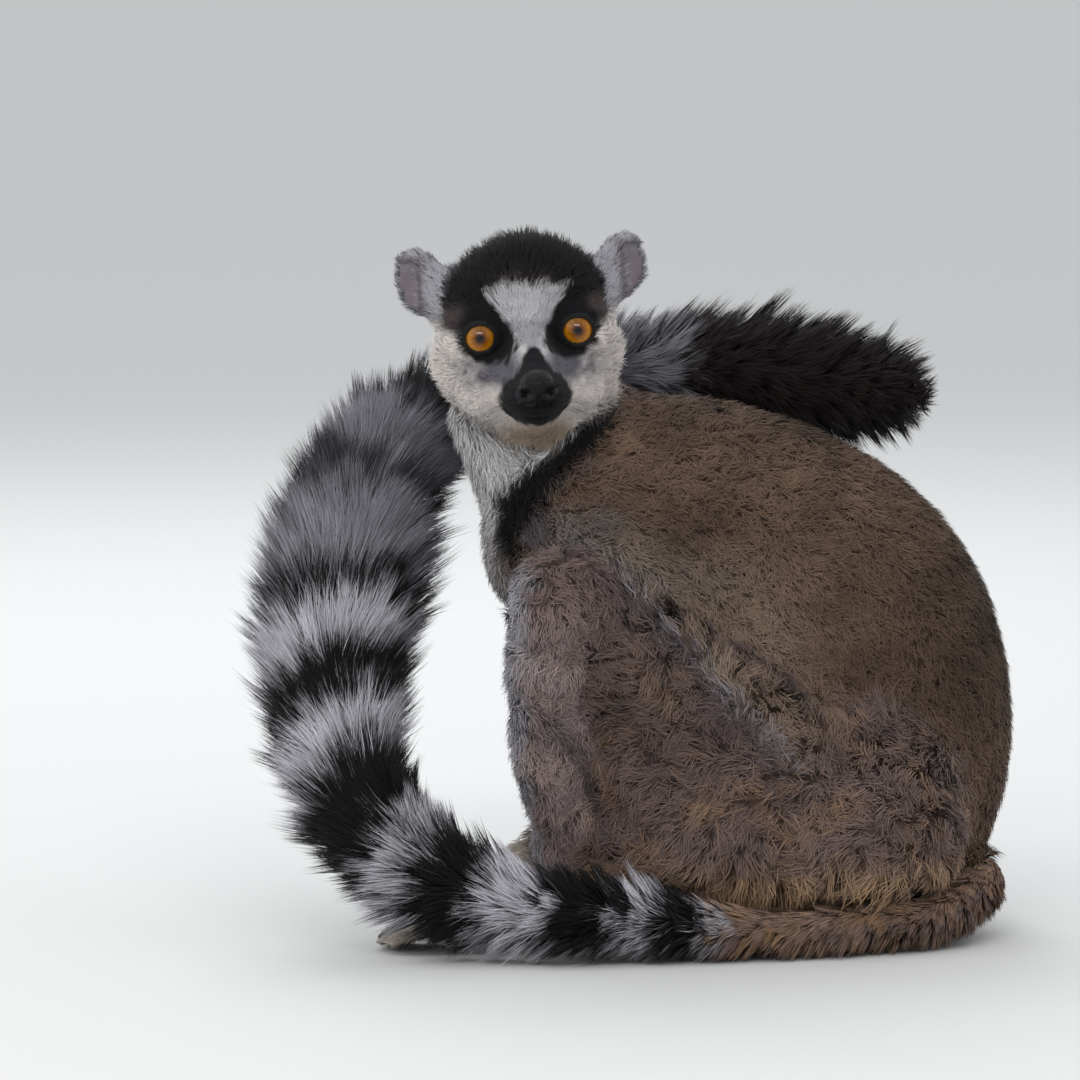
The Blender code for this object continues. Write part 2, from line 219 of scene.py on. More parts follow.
def tail_route():
    """Middle and radius of the brush every few millimetres from rump to tip, found by how far
    each point of its surface lies along it."""
    lengths = sorted(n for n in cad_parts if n.startswith("tail"))
    brush = placed("brush", mesh_of(solids_of(lengths), "brush"))
    seal(brush, BRUSH_GRAIN, 2)
    places = points_of(brush.data)
    behind = (places[:, 0] > middle(lengths[0])[0]) & (places[:, 2] < 60 * MM)
    start = int(np.argmax(norm(places - middle(lengths[1])) * behind))
    band = (walked(places, edges_of(brush.data), start) / TAIL_STEP).astype(int)
    bands = [places[band == k] for k in range(band.max() + 1)]
    middles = np.array([ring.mean(axis=0) for ring in bands])
    radii = np.array([norm(ring - mid).mean() for ring, mid in zip(bands, middles)])
    for _ in range(4):
        for line in (middles, radii):
            line[1:-1] = (line[:-2] + 2 * line[1:-1] + line[2:]) / 4
    bpy.data.objects.remove(brush)
    return middles, radii


def circle(centre, across, over, thick, sides):
    """Places evenly round a circle that lies along two ways at right angles."""
    turns = [2 * math.pi * k / sides for k in range(sides)]
    return [centre + thick * (math.cos(t) * across + math.sin(t) * over) for t in turns]


def tube(form, circles):
    """Points at the places of each circle, and faces from each circle to the next."""
    rings = [[form.verts.new(p) for p in ring] for ring in circles]
    for one, two in zip(rings, rings[1:]):
        for k in range(len(one)):
            form.faces.new((one[k], one[k - 1], two[k - 1], two[k]))
    return rings


def thin_tail(form, middles, radii):
    """The tail itself inside the brush: circles about its middle, closed at both ends."""
    ahead = unit(np.gradient(middles, axis=0))
    across = unit(np.cross(ahead, (0.1, 0.2, 1.0)))
    over = np.cross(across, ahead)
    thick = np.maximum(radii * BARE_TAIL, THINNEST)
    thick[-2:] = 1.5 * MM
    rings = tube(form, [circle(*ring, 14) for ring in zip(middles, across, over, thick)])
    form.faces.new(rings[0])
    form.faces.new(rings[-1][::-1])


tail_mid, tail_radius = tail_route()
tail_far = np.r_[0, np.cumsum(norm(np.diff(tail_mid, axis=0)))]

flesh = [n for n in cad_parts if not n.startswith("tail")]
skin = placed("skin", mesh_of(solids_of(flesh), "skin"))
# a hand and a foot that stand side by side are drawn a little apart before the sheet goes round
sheets = [BVHTree.FromBMesh(solids_of([n for n in flesh if n.startswith(p)])) for p in ("hand", "foot")]
for vert in skin.data.vertices:
    for own, other in (sheets, sheets[::-1]):
        if own.find_nearest(vert.co)[3] < 0.01 * MM:
            close, _, _, gap = other.find_nearest(vert.co)
            pull = min(max((HAND_FAR - gap) / (HAND_FAR - HAND_NEAR), 0), 1)
            vert.co += (vert.co - close).normalized() * HAND_OFF * pull
seal(skin, ROUGH_GRAIN, 4)


def tree_of(marks):
    tree = KDTree(len(marks))
    for k, p in enumerate(marks):
        tree.insert(p, k)
    tree.balance()
    return tree


def nearest_of(marks):
    """Finds, for many places at once, which of the marks is nearest."""
    tree = tree_of(marks)
    return lambda places: np.array([tree.find(p)[1] for p in places])


# marks all over the solids, each knowing which part it is on
marks, owners = [], []
for node in flesh:
    if node.startswith("eye"):
        continue
    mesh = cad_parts[node].data
    mesh.calc_loop_triangles()
    corners = points_of(mesh)[[t.vertices for t in mesh.loop_triangles]]
    for weights in ((1, 1, 1), (4, 1, 1), (1, 4, 1), (1, 1, 4)):
        marks.append(np.einsum("k,nkd->nd", np.array(weights) / sum(weights), corners))
        owners.append(np.full(len(corners), PARTS.index(part_of(node))))
owners = np.concatenate(owners)
mark_near = nearest_of(np.vstack(marks))


def shares(places, edges, rounds):
    """How much each point belongs to each part, soft where two parts meet."""
    own = np.zeros((len(places), len(PARTS)))
    own[np.arange(len(places)), owners[mark_near(places)]] = 1
    return evened(own, edges, rounds)


def by_part(share):
    return dict(zip(PARTS, share.T))


# the head's own axes, from the eyes and the nose pad: a to its left, b up, c forward
NOSE_BELOW = math.radians(26)  # the nose pad lies this far below straight ahead of the eyes
eye_mid = {side: middle("eye_" + side) for side in ("left", "right")}
between_eyes = (eye_mid["left"] + eye_mid["right"]) / 2
head_a = unit(eye_mid["left"] - eye_mid["right"])
to_nose = unit(middle("nose") - between_eyes)
upright = np.cross(to_nose, head_a)
head_c = math.cos(NOSE_BELOW) * to_nose + math.sin(NOSE_BELOW) * upright
head_b = np.cross(head_c, head_a)
head_axes = np.array((head_a, head_b, head_c))
face_mid = between_eyes + EYE_SUNK * MM * head_c


def to_head(places):
    """Places in the head's axes, in millimetres from the bridge of the nose."""
    return (places - face_mid) @ head_axes.T / MM


def off_eyes(a, b):
    """How far places on the face are from the middle of the nearer eye."""
    return np.hypot(np.abs(a) - EYE_APART, b)


def from_head(places):
    return face_mid + np.asarray(places) @ head_axes * MM


def step(low, high, x):
    """0 up to low, 1 from high on, and an even slope between."""
    t = np.clip((x - low) / (high - low), 0, 1)
    return t * t * (3 - 2 * t)


def hump(x, width):
    return np.exp(-(x / width) ** 2)


def waves(places, size, seed):
    """A smooth random value from about -1 to 1 at each place, whose swells are `size` apart."""
    chance = np.random.default_rng(seed)
    total = np.zeros(len(places))
    for _ in range(14):
        way = unit(chance.normal(size=3))
        total += np.sin(places @ way * (2 * math.pi / size) * chance.uniform(0.6, 1.5)
                        + chance.uniform(0, 2 * math.pi))
    return total / 3.7


def fold_of(places, outward, name):
    """Where places lie on a fold of the coat: how far above it they are in millimetres, and 1
    beside it or 0 beyond its ends."""
    top, way, long, _ = FOLDS[name]
    x, _, z = places.T / MM
    x, z = x - top[0], z - top[1]
    along = x * way[0] + z * way[1]
    beside = step(-10, 8, along) * step(long + 12, long - 10, along)
    return z * way[0] - x * way[1], beside * step(0.3, 0.6, np.abs(outward[:, 1]))


# sink the sheet by the depth of the coat, deeper under the cheeks and shallower at the ruff below
# them, fill the creases between limb and body, and leave the legs lumpy under their wool
depths = np.array([COAT_DEPTH.get(p, 0) for p in PARTS])
edges = edges_of(skin.data)
places = points_of(skin.data)
a, b, c = to_head(places).T
share = shares(places, edges, 5)
own = by_part(share)
depth = share @ depths
on_head = np.linalg.norm(np.stack((a / 45, b / 42, (c + 15) / 50)), axis=0) < 1
cheek = step(15, 27, np.hypot(a, 0.8 * (b + 8))) * step(12, 2, b) * step(-26, -16, b)
depth += on_head * CHEEK_DEPTH * cheek
skull = own["head"] * step(25, 19, np.abs(a))
depth += skull * (CROWN_DEPTH + 1.0 * step(5, -12, a)) * step(12, 26, b)
depth -= RUFF_DEPTH * hump(np.hypot(np.abs(a) - 24, b + 28), 11) * (c < 8)
outward = ways_out(skin.data, edges, 3)
limb = sum(own[p] for p in ("thigh", "shank", "arm", "trunk", "neck"))
limb += own["head"] * step(-8, -16, b) * step(10, 0, c)
places -= outward * depth[:, None] * MM
filled = np.sum((evened(places, edges, CREASE_ROUNDS) - places) * outward, axis=1)
places += outward * (np.clip(filled, 0, CREASE_FILL) * limb)[:, None]
lumps = LUMP_HIGH * (own["thigh"] + own["shank"]) * waves(places, LUMP_APART, 51)
places += outward * lumps[:, None]
for name in FOLDS:
    above, beside = fold_of(places, outward, name)
    places -= outward * (FOLDS[name][3] * MM * beside * hump(above + 1, 4))[:, None]
skin.data.vertices.foreach_set("co", places.ravel())
form = bmesh.new()
form.from_mesh(skin.data)
low, high = np.array(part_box("trunk"))
rump = np.array((high[0] - 34 * MM, (low[1] + high[1]) / 2, low[2] + 38 * MM))
outermost = tail_mid[2] + (-4 * MM, 0, 0)
root = [rump + (outermost - rump) * t for t in (0, 0.3, 0.6, 0.85)]
root_thick = np.linspace(11, 7, 4) * MM / BARE_TAIL
thick = tail_radius * np.interp(tail_far, (0, 90 * MM), (2.0, 1.0))
thin_tail(form, np.vstack((root, tail_mid[2:])), np.r_[root_thick, thick[2:]])
form.to_mesh(skin.data)
form.free()
seal(skin, SKIN_GRAIN, 4)

DIGIT_APART, DIGIT_LONG = 4.2 * MM, 24 * MM
GROOVE_DEEP, CREASE_DEEP = 3.0, 2.2  # between digits, and between a hand and a foot, in millimetres


def digit_tips(node):
    """The ends of a hand's or foot's digits and the way each points."""
    mesh = mesh_of(solids_of([node]), "digits")
    found = points_of(mesh)
    far = walked(found, edges_of(mesh), int(np.argmax(found[:, 0])))
    reach = 0.45 * far[np.isfinite(far)].max()
    tips = []
    for k in np.argsort(-far):
        apart = all(np.linalg.norm(found[k] - found[t]) > DIGIT_APART for t in tips)
        around = norm(found - found[k]) < DIGIT_APART
        if apart and far[k] >= far[around].max() - 1e-9 and far[k] > reach:
            tips.append(k)
    for k in tips[:5]:
        around = norm(found - found[k]) < 1.6 * DIGIT_APART
        yield found[k], unit(found[k] - found[around].mean(axis=0))


def end_of(node, axis, share_of_points, high):
    """The middle of one end of a solid: its points that reach furthest along an axis."""
    found = points_of(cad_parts[node].data)
    limit = np.quantile(found[:, axis], 1 - share_of_points if high else share_of_points)
    return found[(found[:, axis] >= limit) if high else (found[:, axis] <= limit)].mean(axis=0)


# finer faces where the face has its features and on the digits, each time rounded off
digits = {n: list(digit_tips(n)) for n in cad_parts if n.startswith(("hand", "foot"))}
tip_near = tree_of([tip for found in digits.values() for tip, _ in found])
form = bmesh.new()
form.from_mesh(skin.data)
for reach in (1.0, 0.62):
    fine = []
    for face in form.faces:
        centre = face.calc_center_median()
        a, b, c = to_head(np.array(centre))
        eyes = off_eyes(a, b) < 15 * reach
        muzzle = abs(a) < 20 * reach and -36 < b < 2
        ears = reach == 1 and abs(a) > 24 and b > 4
        digit = reach == 1 and tip_near.find(centre)[2] < DIGIT_LONG
        if c > -14 and (eyes or muzzle) or ears and c > -45 or digit:
            fine.append(face)
    rims = {e for f in fine for e in f.edges}
    made = bmesh.ops.subdivide_edges(form, edges=list(rims), cuts=1, use_grid_fill=True)
    moved = {v for v in made["geom"] if isinstance(v, bmesh.types.BMVert)}
    for _ in range(3):
        moved |= {v for e in rims if e.is_valid for v in e.verts}
        bmesh.ops.smooth_vert(form, verts=list(moved), factor=0.5)
form.to_mesh(skin.data)
form.free()
edges = edges_of(skin.data)
places = points_of(skin.data)
a, b, c = to_head(places).T
facing = ways_out(skin.data, edges, 0) @ head_c > -0.1
frontal = facing & (c > -14) & (np.abs(a) < 34) & (b > -38) & (b < 26)
for side in (-1, 1):
    # a lid rests on the eyeball round a nearly round opening and folds once before the brow
    away = np.hypot((a - side * EYE_APART) / 1.055, (b - 0.1) / 0.87)
    bulge = np.sqrt(np.clip(EYE_RADIUS ** 2 - away ** 2, 1, None)) - EYE_SUNK
    brow = math.sqrt(EYE_RADIUS ** 2 - EYE_OPEN ** 2) - EYE_SUNK - (away - EYE_OPEN) ** 2 / 22
    lid = bulge - LID_DEEP + (LID_DEEP + LID_THICK) * step(EYE_OPEN - 0.55, EYE_OPEN + 0.15, away)
    lid = np.where(away > EYE_OPEN, np.maximum(lid, brow + LID_THICK), lid)
    lid -= 0.4 * hump(away - EYE_OPEN - LID_FOLD, 0.55)
    hold = frontal * step(EYE_OPEN + LID_REACH, EYE_OPEN + 2.5, away)
    c = c + hold * (lid - c)
    # a nostril opens forward and to the side, with a slit that curls back
    off, up = side * a - NOSTRIL_APART, b - NOSTRIL_RISE
    on_slit = np.clip(off, 0, SLIT_LONG)
    slit = SLIT_DEEP * hump(np.hypot(on_slit - off, up - 0.45 * on_slit), 0.7)
    c = c - frontal * (c > 12) * (NOSTRIL_DEEP * hump(np.hypot(off / 1.2, up), 1.5) + slit)
# the nose pad stands a little proud, and so do the pads that the whiskers grow from
c = c + frontal * (c > 10) * 0.7 * step(1.12, 0.8, np.hypot(a / 6.6, (b - NOSTRIL_RISE) / 4.3))
c = c + frontal * (c > 4) * 0.9 * hump(np.hypot(np.abs(a) - 6.8, b + 22), 3.6)
lips = MOUTH_LOW + MOUTH_CURVE * (a / MOUTH_HALF) ** 2
mouth = frontal * (c > 4) * step(MOUTH_HALF + 1.5, MOUTH_HALF - 1, np.abs(a))
c = c - mouth * 1.1 * hump(b - lips, 0.6)
c = c - frontal * (c > 12) * 0.5 * hump(a, 0.55) * step(-18.5, -20, b) * step(-27, -25, b)
places = from_head(np.stack((a, b, c), axis=1))
# grooves between the digits, and a crease where a hand rests against a foot
outward = ways_out(skin.data, edges, 1)
own = by_part(shares(places, edges, 3))
groove = 4 * CREASE_DEEP * own["hand"] * own["foot"]
for node, found in digits.items():
    tips = np.array([tip for tip, _ in found])
    ways = unit((tips - end_of(node, 0, 0.15, True)) * (1, 1, 0))
    gap = places[:, None] - tips
    behind = -np.sum(gap * ways, axis=2)
    aside = np.abs(gap[..., 0] * ways[:, 1] - gap[..., 1] * ways[:, 0])
    aside = np.where((behind > -4 * MM) & (behind < DIGIT_LONG), aside, 1) / MM
    order = np.argsort(aside, axis=1)
    nearest, second = np.take_along_axis(aside, order[:, :2], axis=1).T
    behind = np.take_along_axis(behind, order[:, :1], axis=1)[:, 0]
    between = hump((second - nearest) / 2, 1.1) * step(7, 5.5, nearest)
    groove += GROOVE_DEEP * between * step(DIGIT_LONG, 0.5 * DIGIT_LONG, behind) * own[part_of(node)]
places -= outward * (groove * step(-0.7, -0.2, outward[:, 2]) * MM)[:, None]
skin.data.vertices.foreach_set("co", places.ravel())
skin.data.update()

# ------------------------------
# The markings, the same for the skin and for every tuft that grows from it: a white face with black eye
# patches, muzzle and crown, a pale throat with a dark band before each shoulder that is partly dark fur
# and partly painted shade, grey-brown back and legs, pale underside and a tail ringed in black and white.
# Painted shade also darkens the chin, the rump, the folds of flank and calf, the partings of the leg wool
# and the inner edge of each ear bowl, and a painted highlight runs along the flank fold.
COLOUR = {
    "white": (0.84, 0.83, 0.83), "cream": (0.87, 0.84, 0.82), "grey white": (0.72, 0.71, 0.72),
    "black": (0.03, 0.034, 0.048), "crown": (0.05, 0.047, 0.055), "smoke": (0.32, 0.31, 0.35),
    "blaze": (0.73, 0.72, 0.73), "ear white": (0.68, 0.675, 0.70),
    "brown grey": (0.435, 0.35, 0.29), "dark brown": (0.12, 0.095, 0.085),
    "mauve": (0.465, 0.395, 0.38),
    "tan": (0.66, 0.52, 0.38), "blue white": (0.74, 0.75, 0.79), "pale grey": (0.62, 0.59, 0.57),
    "ring black": (0.035, 0.026, 0.025), "ring white": (0.77, 0.76, 0.79),
    "fringe": (0.70, 0.57, 0.43),
    "leather": (0.07, 0.062, 0.066), "ear pink": (0.52, 0.45, 0.48), "flank": (0.60, 0.52, 0.45),
    "chin beige and shade": (0.64, 0.56, 0.47), "shin": (0.66, 0.59, 0.58), "tip black": (0.14, 0.10, 0.10),
    "temple": (0.32, 0.26, 0.26), "band": (0.055, 0.043, 0.04), "paw": (0.84, 0.79, 0.74),
    "fold shade": (0.24, 0.22, 0.24),
}
# where each black ring is darkest along the tail, and half of its breadth, in millimetres
BLACK_RINGS = (
    (144, 9), (177, 13), (220, 13), (259, 16), (306, 13), (344, 8), (388, 9), (432, 17), (472, 11),
)
PALE_UNTIL, RINGS_FROM, TIP_FROM = 129, 134, 516
# the middle of the dark band before the shoulder, partly dark fur and partly painted shade: places along
# X at heights, in millimetres
BAND_HEIGHTS, BAND_PLACES = (60, 130, 141, 156, 167), (-44, -36, -30, -19, -7)


def linear(colour):
    """A colour as light, from the value that a screen shows."""
    v = np.asarray(colour, dtype=float)
    return np.where(v < 0.04045, v / 12.92, ((v + 0.055) / 1.055) ** 2.4)


COLOUR = {name: linear(value) for name, value in COLOUR.items()}


def over(tone, *layers):
    """Colours laid over others one by one, each as far as its cover goes from 0 to 1."""
    for name, cover in layers:
        cover = np.clip(cover, 0, 1)[:, None]
        tone = tone * (1 - cover) + COLOUR[name] * cover
    return tone


def edge_of(shape, soft):
    """1 inside a shape given as a distance below 0, with an edge `soft` wide."""
    return step(soft / 2, -soft / 2, shape)


# half of the breadth of the pale blaze at heights over the eyes, and the height of its top
BLAZE_HEIGHTS, BLAZE_HALVES, BLAZE_TOP = (-5, 0, 4.5, 11, 15.5), (1.8, 4.0, 6.2, 11.2, 13.4), 17.6
# half of the breadth of the dark bridge of the nose, so far below the eyes
BRIDGE_FALLS, BRIDGE_HALVES = (3, 5, 12, 16), (1.0, 2.4, 6.2, 10.0)


def face_colour(a, b, c, under):
    """The markings of the head, in millimetres in its own axes."""
    side = np.abs(a)
    wild = 1.2 * waves(np.stack((a, b, c), axis=1), 5, 5)
    front = c > -22
    temple = edge_of(side - 27.5 - 0.25 * (b - 10), 3) * edge_of(2 - b, 5)
    patch = np.hypot((side - 13.8) / 10.0, (b - 0.4 - 0.12 * (side - 14)) / 9.0)
    blaze = side - np.interp(b, BLAZE_HEIGHTS, BLAZE_HALVES) + wild * 0.5
    top = b - BLAZE_TOP + 0.012 * side ** 2 + wild * 0.6
    bridge = np.maximum(side - np.interp(-b, BRIDGE_FALLS, BRIDGE_HALVES), b + 3.2)
    muzzle = (np.hypot(a / 11.8, (b + 19.8) / 9.3) - 1) * 10
    dark = np.minimum(np.maximum(bridge, -16 - b), np.maximum(muzzle, 3.5 - c))
    return over(
        under,
        ("cream", np.ones(len(a))),
        ("white", edge_of(side - 14 - 0.5 * b, 16)),
        # the chin's beige, darkened with painted shade as under the head
        ("chin beige and shade", 0.9 * edge_of(np.hypot(a / 1.5, b + 36) - 9, 8)),
        ("smoke", 0.92 * edge_of(np.hypot(side - 10.5, (b + 10.5) * 1.1) - 6.0, 6)),
        ("smoke", (0.7 + 0.2 * wild) * edge_of(np.hypot(side - 17.5, b + 11) - 5, 10)),
        ("crown", temple),
        ("temple", 0.75 * edge_of(np.hypot(side - 24.5, (b - 8) * 1.1) - 4, 6)),
        ("smoke", edge_of(38 + c + wild, 10) * edge_of(-8 - b, 8) * 0.8),
        ("smoke", 0.5 * edge_of(np.hypot(side - 5, b + 8) - 3.5, 5)),
        ("black", edge_of((patch - 1) * 9.5 + wild * 0.5, 2.6) * front),
        ("temple", 0.35 * edge_of(np.maximum(blaze + 4, top - 2), 6) * front * (b > 10)),
        ("blaze", edge_of(np.maximum(np.maximum(blaze, top), -5 - b), 2.6) * front),
        ("smoke", 0.35 * edge_of(np.maximum(blaze, b - 5), 3.0) * (b > -6)),
        ("black", edge_of(dark + wild * 0.25, 1.6) * (c > 0)),
    )


def side_of_ear(a, b):
    """How far into the bowl of an ear a place lies, in millimetres from its inner edge."""
    return np.minimum(np.abs(a) - EAR_INNER, EAR_TOP - b)


def parting(places):
    """1 along the wandering lines where the wool of the legs parts, 0 away from them."""
    slanted = places @ np.array(((1.0, 0, 0.5), (0, 1, 0), (-0.5, 0, 1.0)))
    return hump(waves(slanted, 30 * MM, 41) + 0.35 * waves(places, 9 * MM, 42), 0.16)


def coat_colour(places, outward, own):
    """The colour of the coat at places on the body, from the parts they belong to."""
    x, y, z = places.T / MM
    under = step(0.1, -0.75, outward[:, 2]) * step(75, 35, x)
    above, beside = fold_of(places, outward, "flank")
    tone = np.tile(COLOUR["brown grey"], (len(places), 1))
    tone *= (1 + 0.16 * waves(places, 30 * MM, 1) + 0.10 * waves(places, 9 * MM, 2))[:, None]
    tone = over(
        tone,
        ("dark brown", 0.30 * step(0.55, 0.95, outward[:, 2]) * own["trunk"]),
        ("grey white", 0.85 * under * own["trunk"] + 0.7 * own["trunk"] * step(-34, -52, x)),
        ("flank", 0.7 * own["trunk"] * edge_of(np.hypot(x - 32, z - 100) - 20, 34)),
        # painted light: a lighter strip on the lit side above the flank fold
        ("flank", 0.65 * beside * hump(above - 8, 9)),
    )
    # the legs: browner on the haunch, paler down the shin and inside, with painted shade along the lines
    # where the wool parts and in the crease of the calf
    leg = (own["thigh"] + own["shank"]) * (1 - 0.85 * beside * step(-2, 5, above))
    inside = np.where(y > 0, -outward[:, 1], outward[:, 1]) * (np.abs(y - 5) > 12)
    front = 0.8 * step(-0.6, -0.92, outward[:, 0]) * own["shank"] + step(0.2, 0.7, inside) * leg
    warm = step(0.2, 1.0, waves(places, 15 * MM, 3) + 0.35 * waves(places, 6 * MM, 4))
    leg_tone = over(
        tone,
        ("mauve", np.full(len(places), 0.85)),
        ("tan", 0.40 * warm * step(115, 70, z)),
        ("fringe", 0.8 * own["thigh"] * step(33, 17, z)),
        ("shin", 0.75 * own["shank"] * step(120, 95, z)),
        ("blue white", 0.8 * front),
        ("dark brown", 0.14 * own["thigh"] * step(45, 85, z)),
    )
    # painted shade: the wool darkened along its partings
    parting_shade = parting(places) * (1 - beside * hump(above, 20))
    leg_tone *= (1 - 0.62 * parting_shade * step(125, 105, z))[:, None]
    # painted shade in the crease of the calf
    above_calf, beside_calf = fold_of(places, outward, "calf")
    leg_tone = over(leg_tone, ("fold shade", 0.7 * beside_calf * hump(above_calf + 2, 4)))
    # the fold of the flank with painted shade in it and a painted highlight on its edge, painted shade
    # over the rump, the limbs' ends, and the throat with its dark band, partly dark fur and partly
    # painted shade
    paws = own["hand"] + own["foot"]
    body = own["trunk"] + own["neck"]
    behind = (x - np.interp(z, BAND_HEIGHTS, BAND_PLACES)) * 0.72 + 4.5
    # the band is partly dark fur and partly painted shade under the head
    band = edge_of(np.abs(behind - 0.6) - 5.8, 3.5) * step(118, 127, z) * step(8, 13, np.abs(y - 5))
    tone = over(
        tone * (1 - leg[:, None]) + leg_tone * leg[:, None],
        # painted shade in the flank fold, and a painted highlight along its edge
        ("fold shade", 0.62 * beside * hump(above + 3.2, 3.6)),
        ("blue white", 0.34 * beside * hump(above - 0.8, 1.5)),
        # painted shade: the rump and the back before it darkened
        ("dark brown", 0.5 * own["trunk"] * edge_of(np.hypot(x - 112, z - 95) - 34, 50)),
        ("pale grey", own["arm"] * 0.75),
        ("paw", paws),
        ("leather", paws * step(-0.5, -0.85, outward[:, 2])),
        ("white", body * step(3, -3, behind) * step(50, 90, z)),
        ("smoke", own["neck"] * step(0, 8, behind)),
        ("band", body * band),
    )
    on_head = own["head"] + own["nose"] + own["ear"]
    a, b, c = to_head(places).T
    tone += (face_colour(a, b, c, tone) - tone) * np.clip(on_head, 0, 1)[:, None]
    rim = own["ear"] * step(0.1, 0.6, outward @ head_c)
    into = side_of_ear(a, b)
    return over(
        tone,
        ("ear white", own["ear"] * 1.8),
        ("ear pink", rim * 0.8 * step(0, 6, into)),
        # painted shadow along the inner edge of each ear bowl, under its rim
        ("temple", rim * 0.7 * hump(into - 1.5, 1.5)),
        ("black", own["nose"] * 1.5),
    )


def tail_colour(far, places):
    """The colour of the brush so many millimetres from its root."""
    far = far + 2.5 * waves(places, 12 * MM, 7)
    faded = 1 - 0.15 * (far > 350)
    return over(
        np.tile(COLOUR["mauve"], (len(places), 1)),
        ("tan", 0.35 + 0.25 * waves(places, 6 * MM, 9)),
        ("ring white", step(PALE_UNTIL, RINGS_FROM, far)),
        ("smoke", 0.7 * step(318, 372, far) * step(TIP_FROM + 10, TIP_FROM - 20, far)),
        *[("ring black", edge_of(np.abs(far - at) - half, 7) * faded) for at, half in BLACK_RINGS],
        ("tip black", step(TIP_FROM - 12, TIP_FROM + 6, far)),
    )


# what each point of the skin is part of, its way out, and its colour under the coat
tail_fine = np.arange(0, tail_far[-1], 1 * MM)
tail_line = np.stack([np.interp(tail_fine, tail_far, tail_mid[:, k]) for k in range(3)], axis=1)
tail_ahead = unit(np.gradient(tail_line, axis=0))
tail_thick = np.interp(tail_fine, tail_far, tail_radius)
tail_near = nearest_of(tail_line)
edges = edges_of(skin.data)
places = points_of(skin.data)
outward = ways_out(skin.data, edges, 3)
at_tail = tail_near(places)
bare = np.maximum(tail_thick[at_tail] * BARE_TAIL, THINNEST)
off_line = norm(places - tail_line[at_tail])
share = shares(places, edges, 0)
on_tail = (off_line < bare + 2.5 * MM) & ~((at_tail < 20) & (places[:, 2] > 40 * MM))
share[on_tail] = np.eye(len(PARTS))[PARTS.index("tail")]
share = evened(share, edges, 3)
own = by_part(share)
tone = coat_colour(places, outward, own)
tone += (tail_colour(at_tail.astype(float), places) - tone) * own["tail"][:, None]
# painted shade: the skin under the coat darkened, to 0.8 of its markings on the head and 0.55 elsewhere
skin_under_coat_shade = np.where(own["head"] > 0.5, 0.8, 0.55)[:, None]


def set_colours(mesh, colours):
    layer = mesh.attributes.new("marking", "FLOAT_COLOR", "POINT")
    layer.data.foreach_set("color", np.c_[colours, np.ones(len(colours))].ravel())


set_colours(skin.data, tone * skin_under_coat_shade)


def set_up(node, **values):
    """Sets a shader node's sockets, each named with _ for a space."""
    for socket, value in values.items():
        node.inputs[socket.replace("_", " ")].default_value = value


def material(name, **values):
    """A new material, its nodes and its shader with some sockets set."""
    made = bpy.data.materials.new(name)
    made.use_nodes = True
    shader = made.node_tree.nodes["Principled BSDF"]
    set_up(shader, **values)
    return made, made.node_tree, shader


def marking_in(tree):
    """A node that gives the mesh's own markings."""
    marking = tree.nodes.new("ShaderNodeAttribute")
    marking.attribute_name = "marking"
    return marking


def look_from(name, roughness, sheen, grain_size, grain_depth):
    """A material that takes its colour from the mesh's markings, with a fine grain over it."""
    made, tree, shader = material(
        name, Roughness=roughness, Sheen_Weight=sheen, Sheen_Roughness=0.5, Specular_IOR_Level=0.2)
    marking = marking_in(tree)
    where, grain, spread, shade, bump = (
        tree.nodes.new("ShaderNode" + kind)
        for kind in ("TexCoord", "TexNoise", "MapRange", "Mix", "Bump")
    )
    shade.data_type = "RGBA"
    shade.blend_type = "MULTIPLY"
    set_up(grain, Scale=1 / grain_size, Detail=3)
    set_up(spread, To_Min=0.8, To_Max=1.2)
    set_up(shade, Factor=1)
    set_up(bump, Strength=0.6, Distance=grain_depth)
    for source, output, target, socket in (
        (where, "Object", grain, "Vector"),
        (grain, "Fac", spread, "Value"),
        (marking, "Color", shade, "A"),
        (spread, "Result", shade, "B"),
        (shade, "Result", shader, "Base Color"),
        (grain, "Fac", bump, "Height"),
        (bump, "Normal", shader, "Normal"),
    ):
        tree.links.new(source.outputs[output], target.inputs[socket])
    return made


skin_look = look_from("skin", 0.6, 0.1, 0.8 * MM, 0.25 * MM)
nose_look = look_from("nose leather", 0.45, 0.0, 0.7 * MM, 0.12 * MM)
skin.data.shade_smooth()
skin.data.materials.append(skin_look)
skin.data.materials.append(nose_look)
a, b, c = to_head(np.array([p.center for p in skin.data.polygons])).T
bare_nose = (np.hypot(a / 7.4, (b - NOSTRIL_RISE) / 5.2) < 1) & (c > 12)
skin.data.polygons.foreach_set("material_index", bare_nose.astype(np.int32))
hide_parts(*[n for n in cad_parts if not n.startswith("eye")])
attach(skin, "root")

# ------------------------------
# The lie of the coat: from the nose out over the head, from the nape down the back to the rump,
# down each limb to its toes, and along the tail to its tip, with cowlicks where the hair is long.

# how long each part's hair is in millimetres, how many degrees it rises at, and how far it swirls,
# is drawn into locks and curls
HAIR = {
    "head": (7.0, 24, 0.15, 0.15, 0.08), "nose": (0.6, 8, 0.1, 0.2, 0.08),
    "ear": (3.4, 30, 0.2, 0.3, 0.08), "neck": (9.0, 42, 0.3, 0.22, 0.15),
    "trunk": (6.4, 46, 0.3, 0.3, 0.28), "arm": (8.0, 34, 0.4, 0.5, 0.2),
    "hand": (2.6, 16, 0.1, 0.2, 0.08), "thigh": (9.5, 44, 0.9, 0.62, 0.3),
    "shank": (8.0, 38, 0.6, 0.55, 0.25), "foot": (3.0, 18, 0.1, 0.2, 0.08),
    "tail": (9.0, 40, 0.1, 0.2, 0.08),
}
FRINGE_LONG = 9


def squared(ways, to):
    """Ways made square to others."""
    return unit(ways - np.sum(ways * to, axis=1)[:, None] * to)


def turned(ways, other, angle):
    """Ways turned by an angle towards others that are square to them."""
    return ways * np.cos(angle)[:, None] + other * np.sin(angle)[:, None]


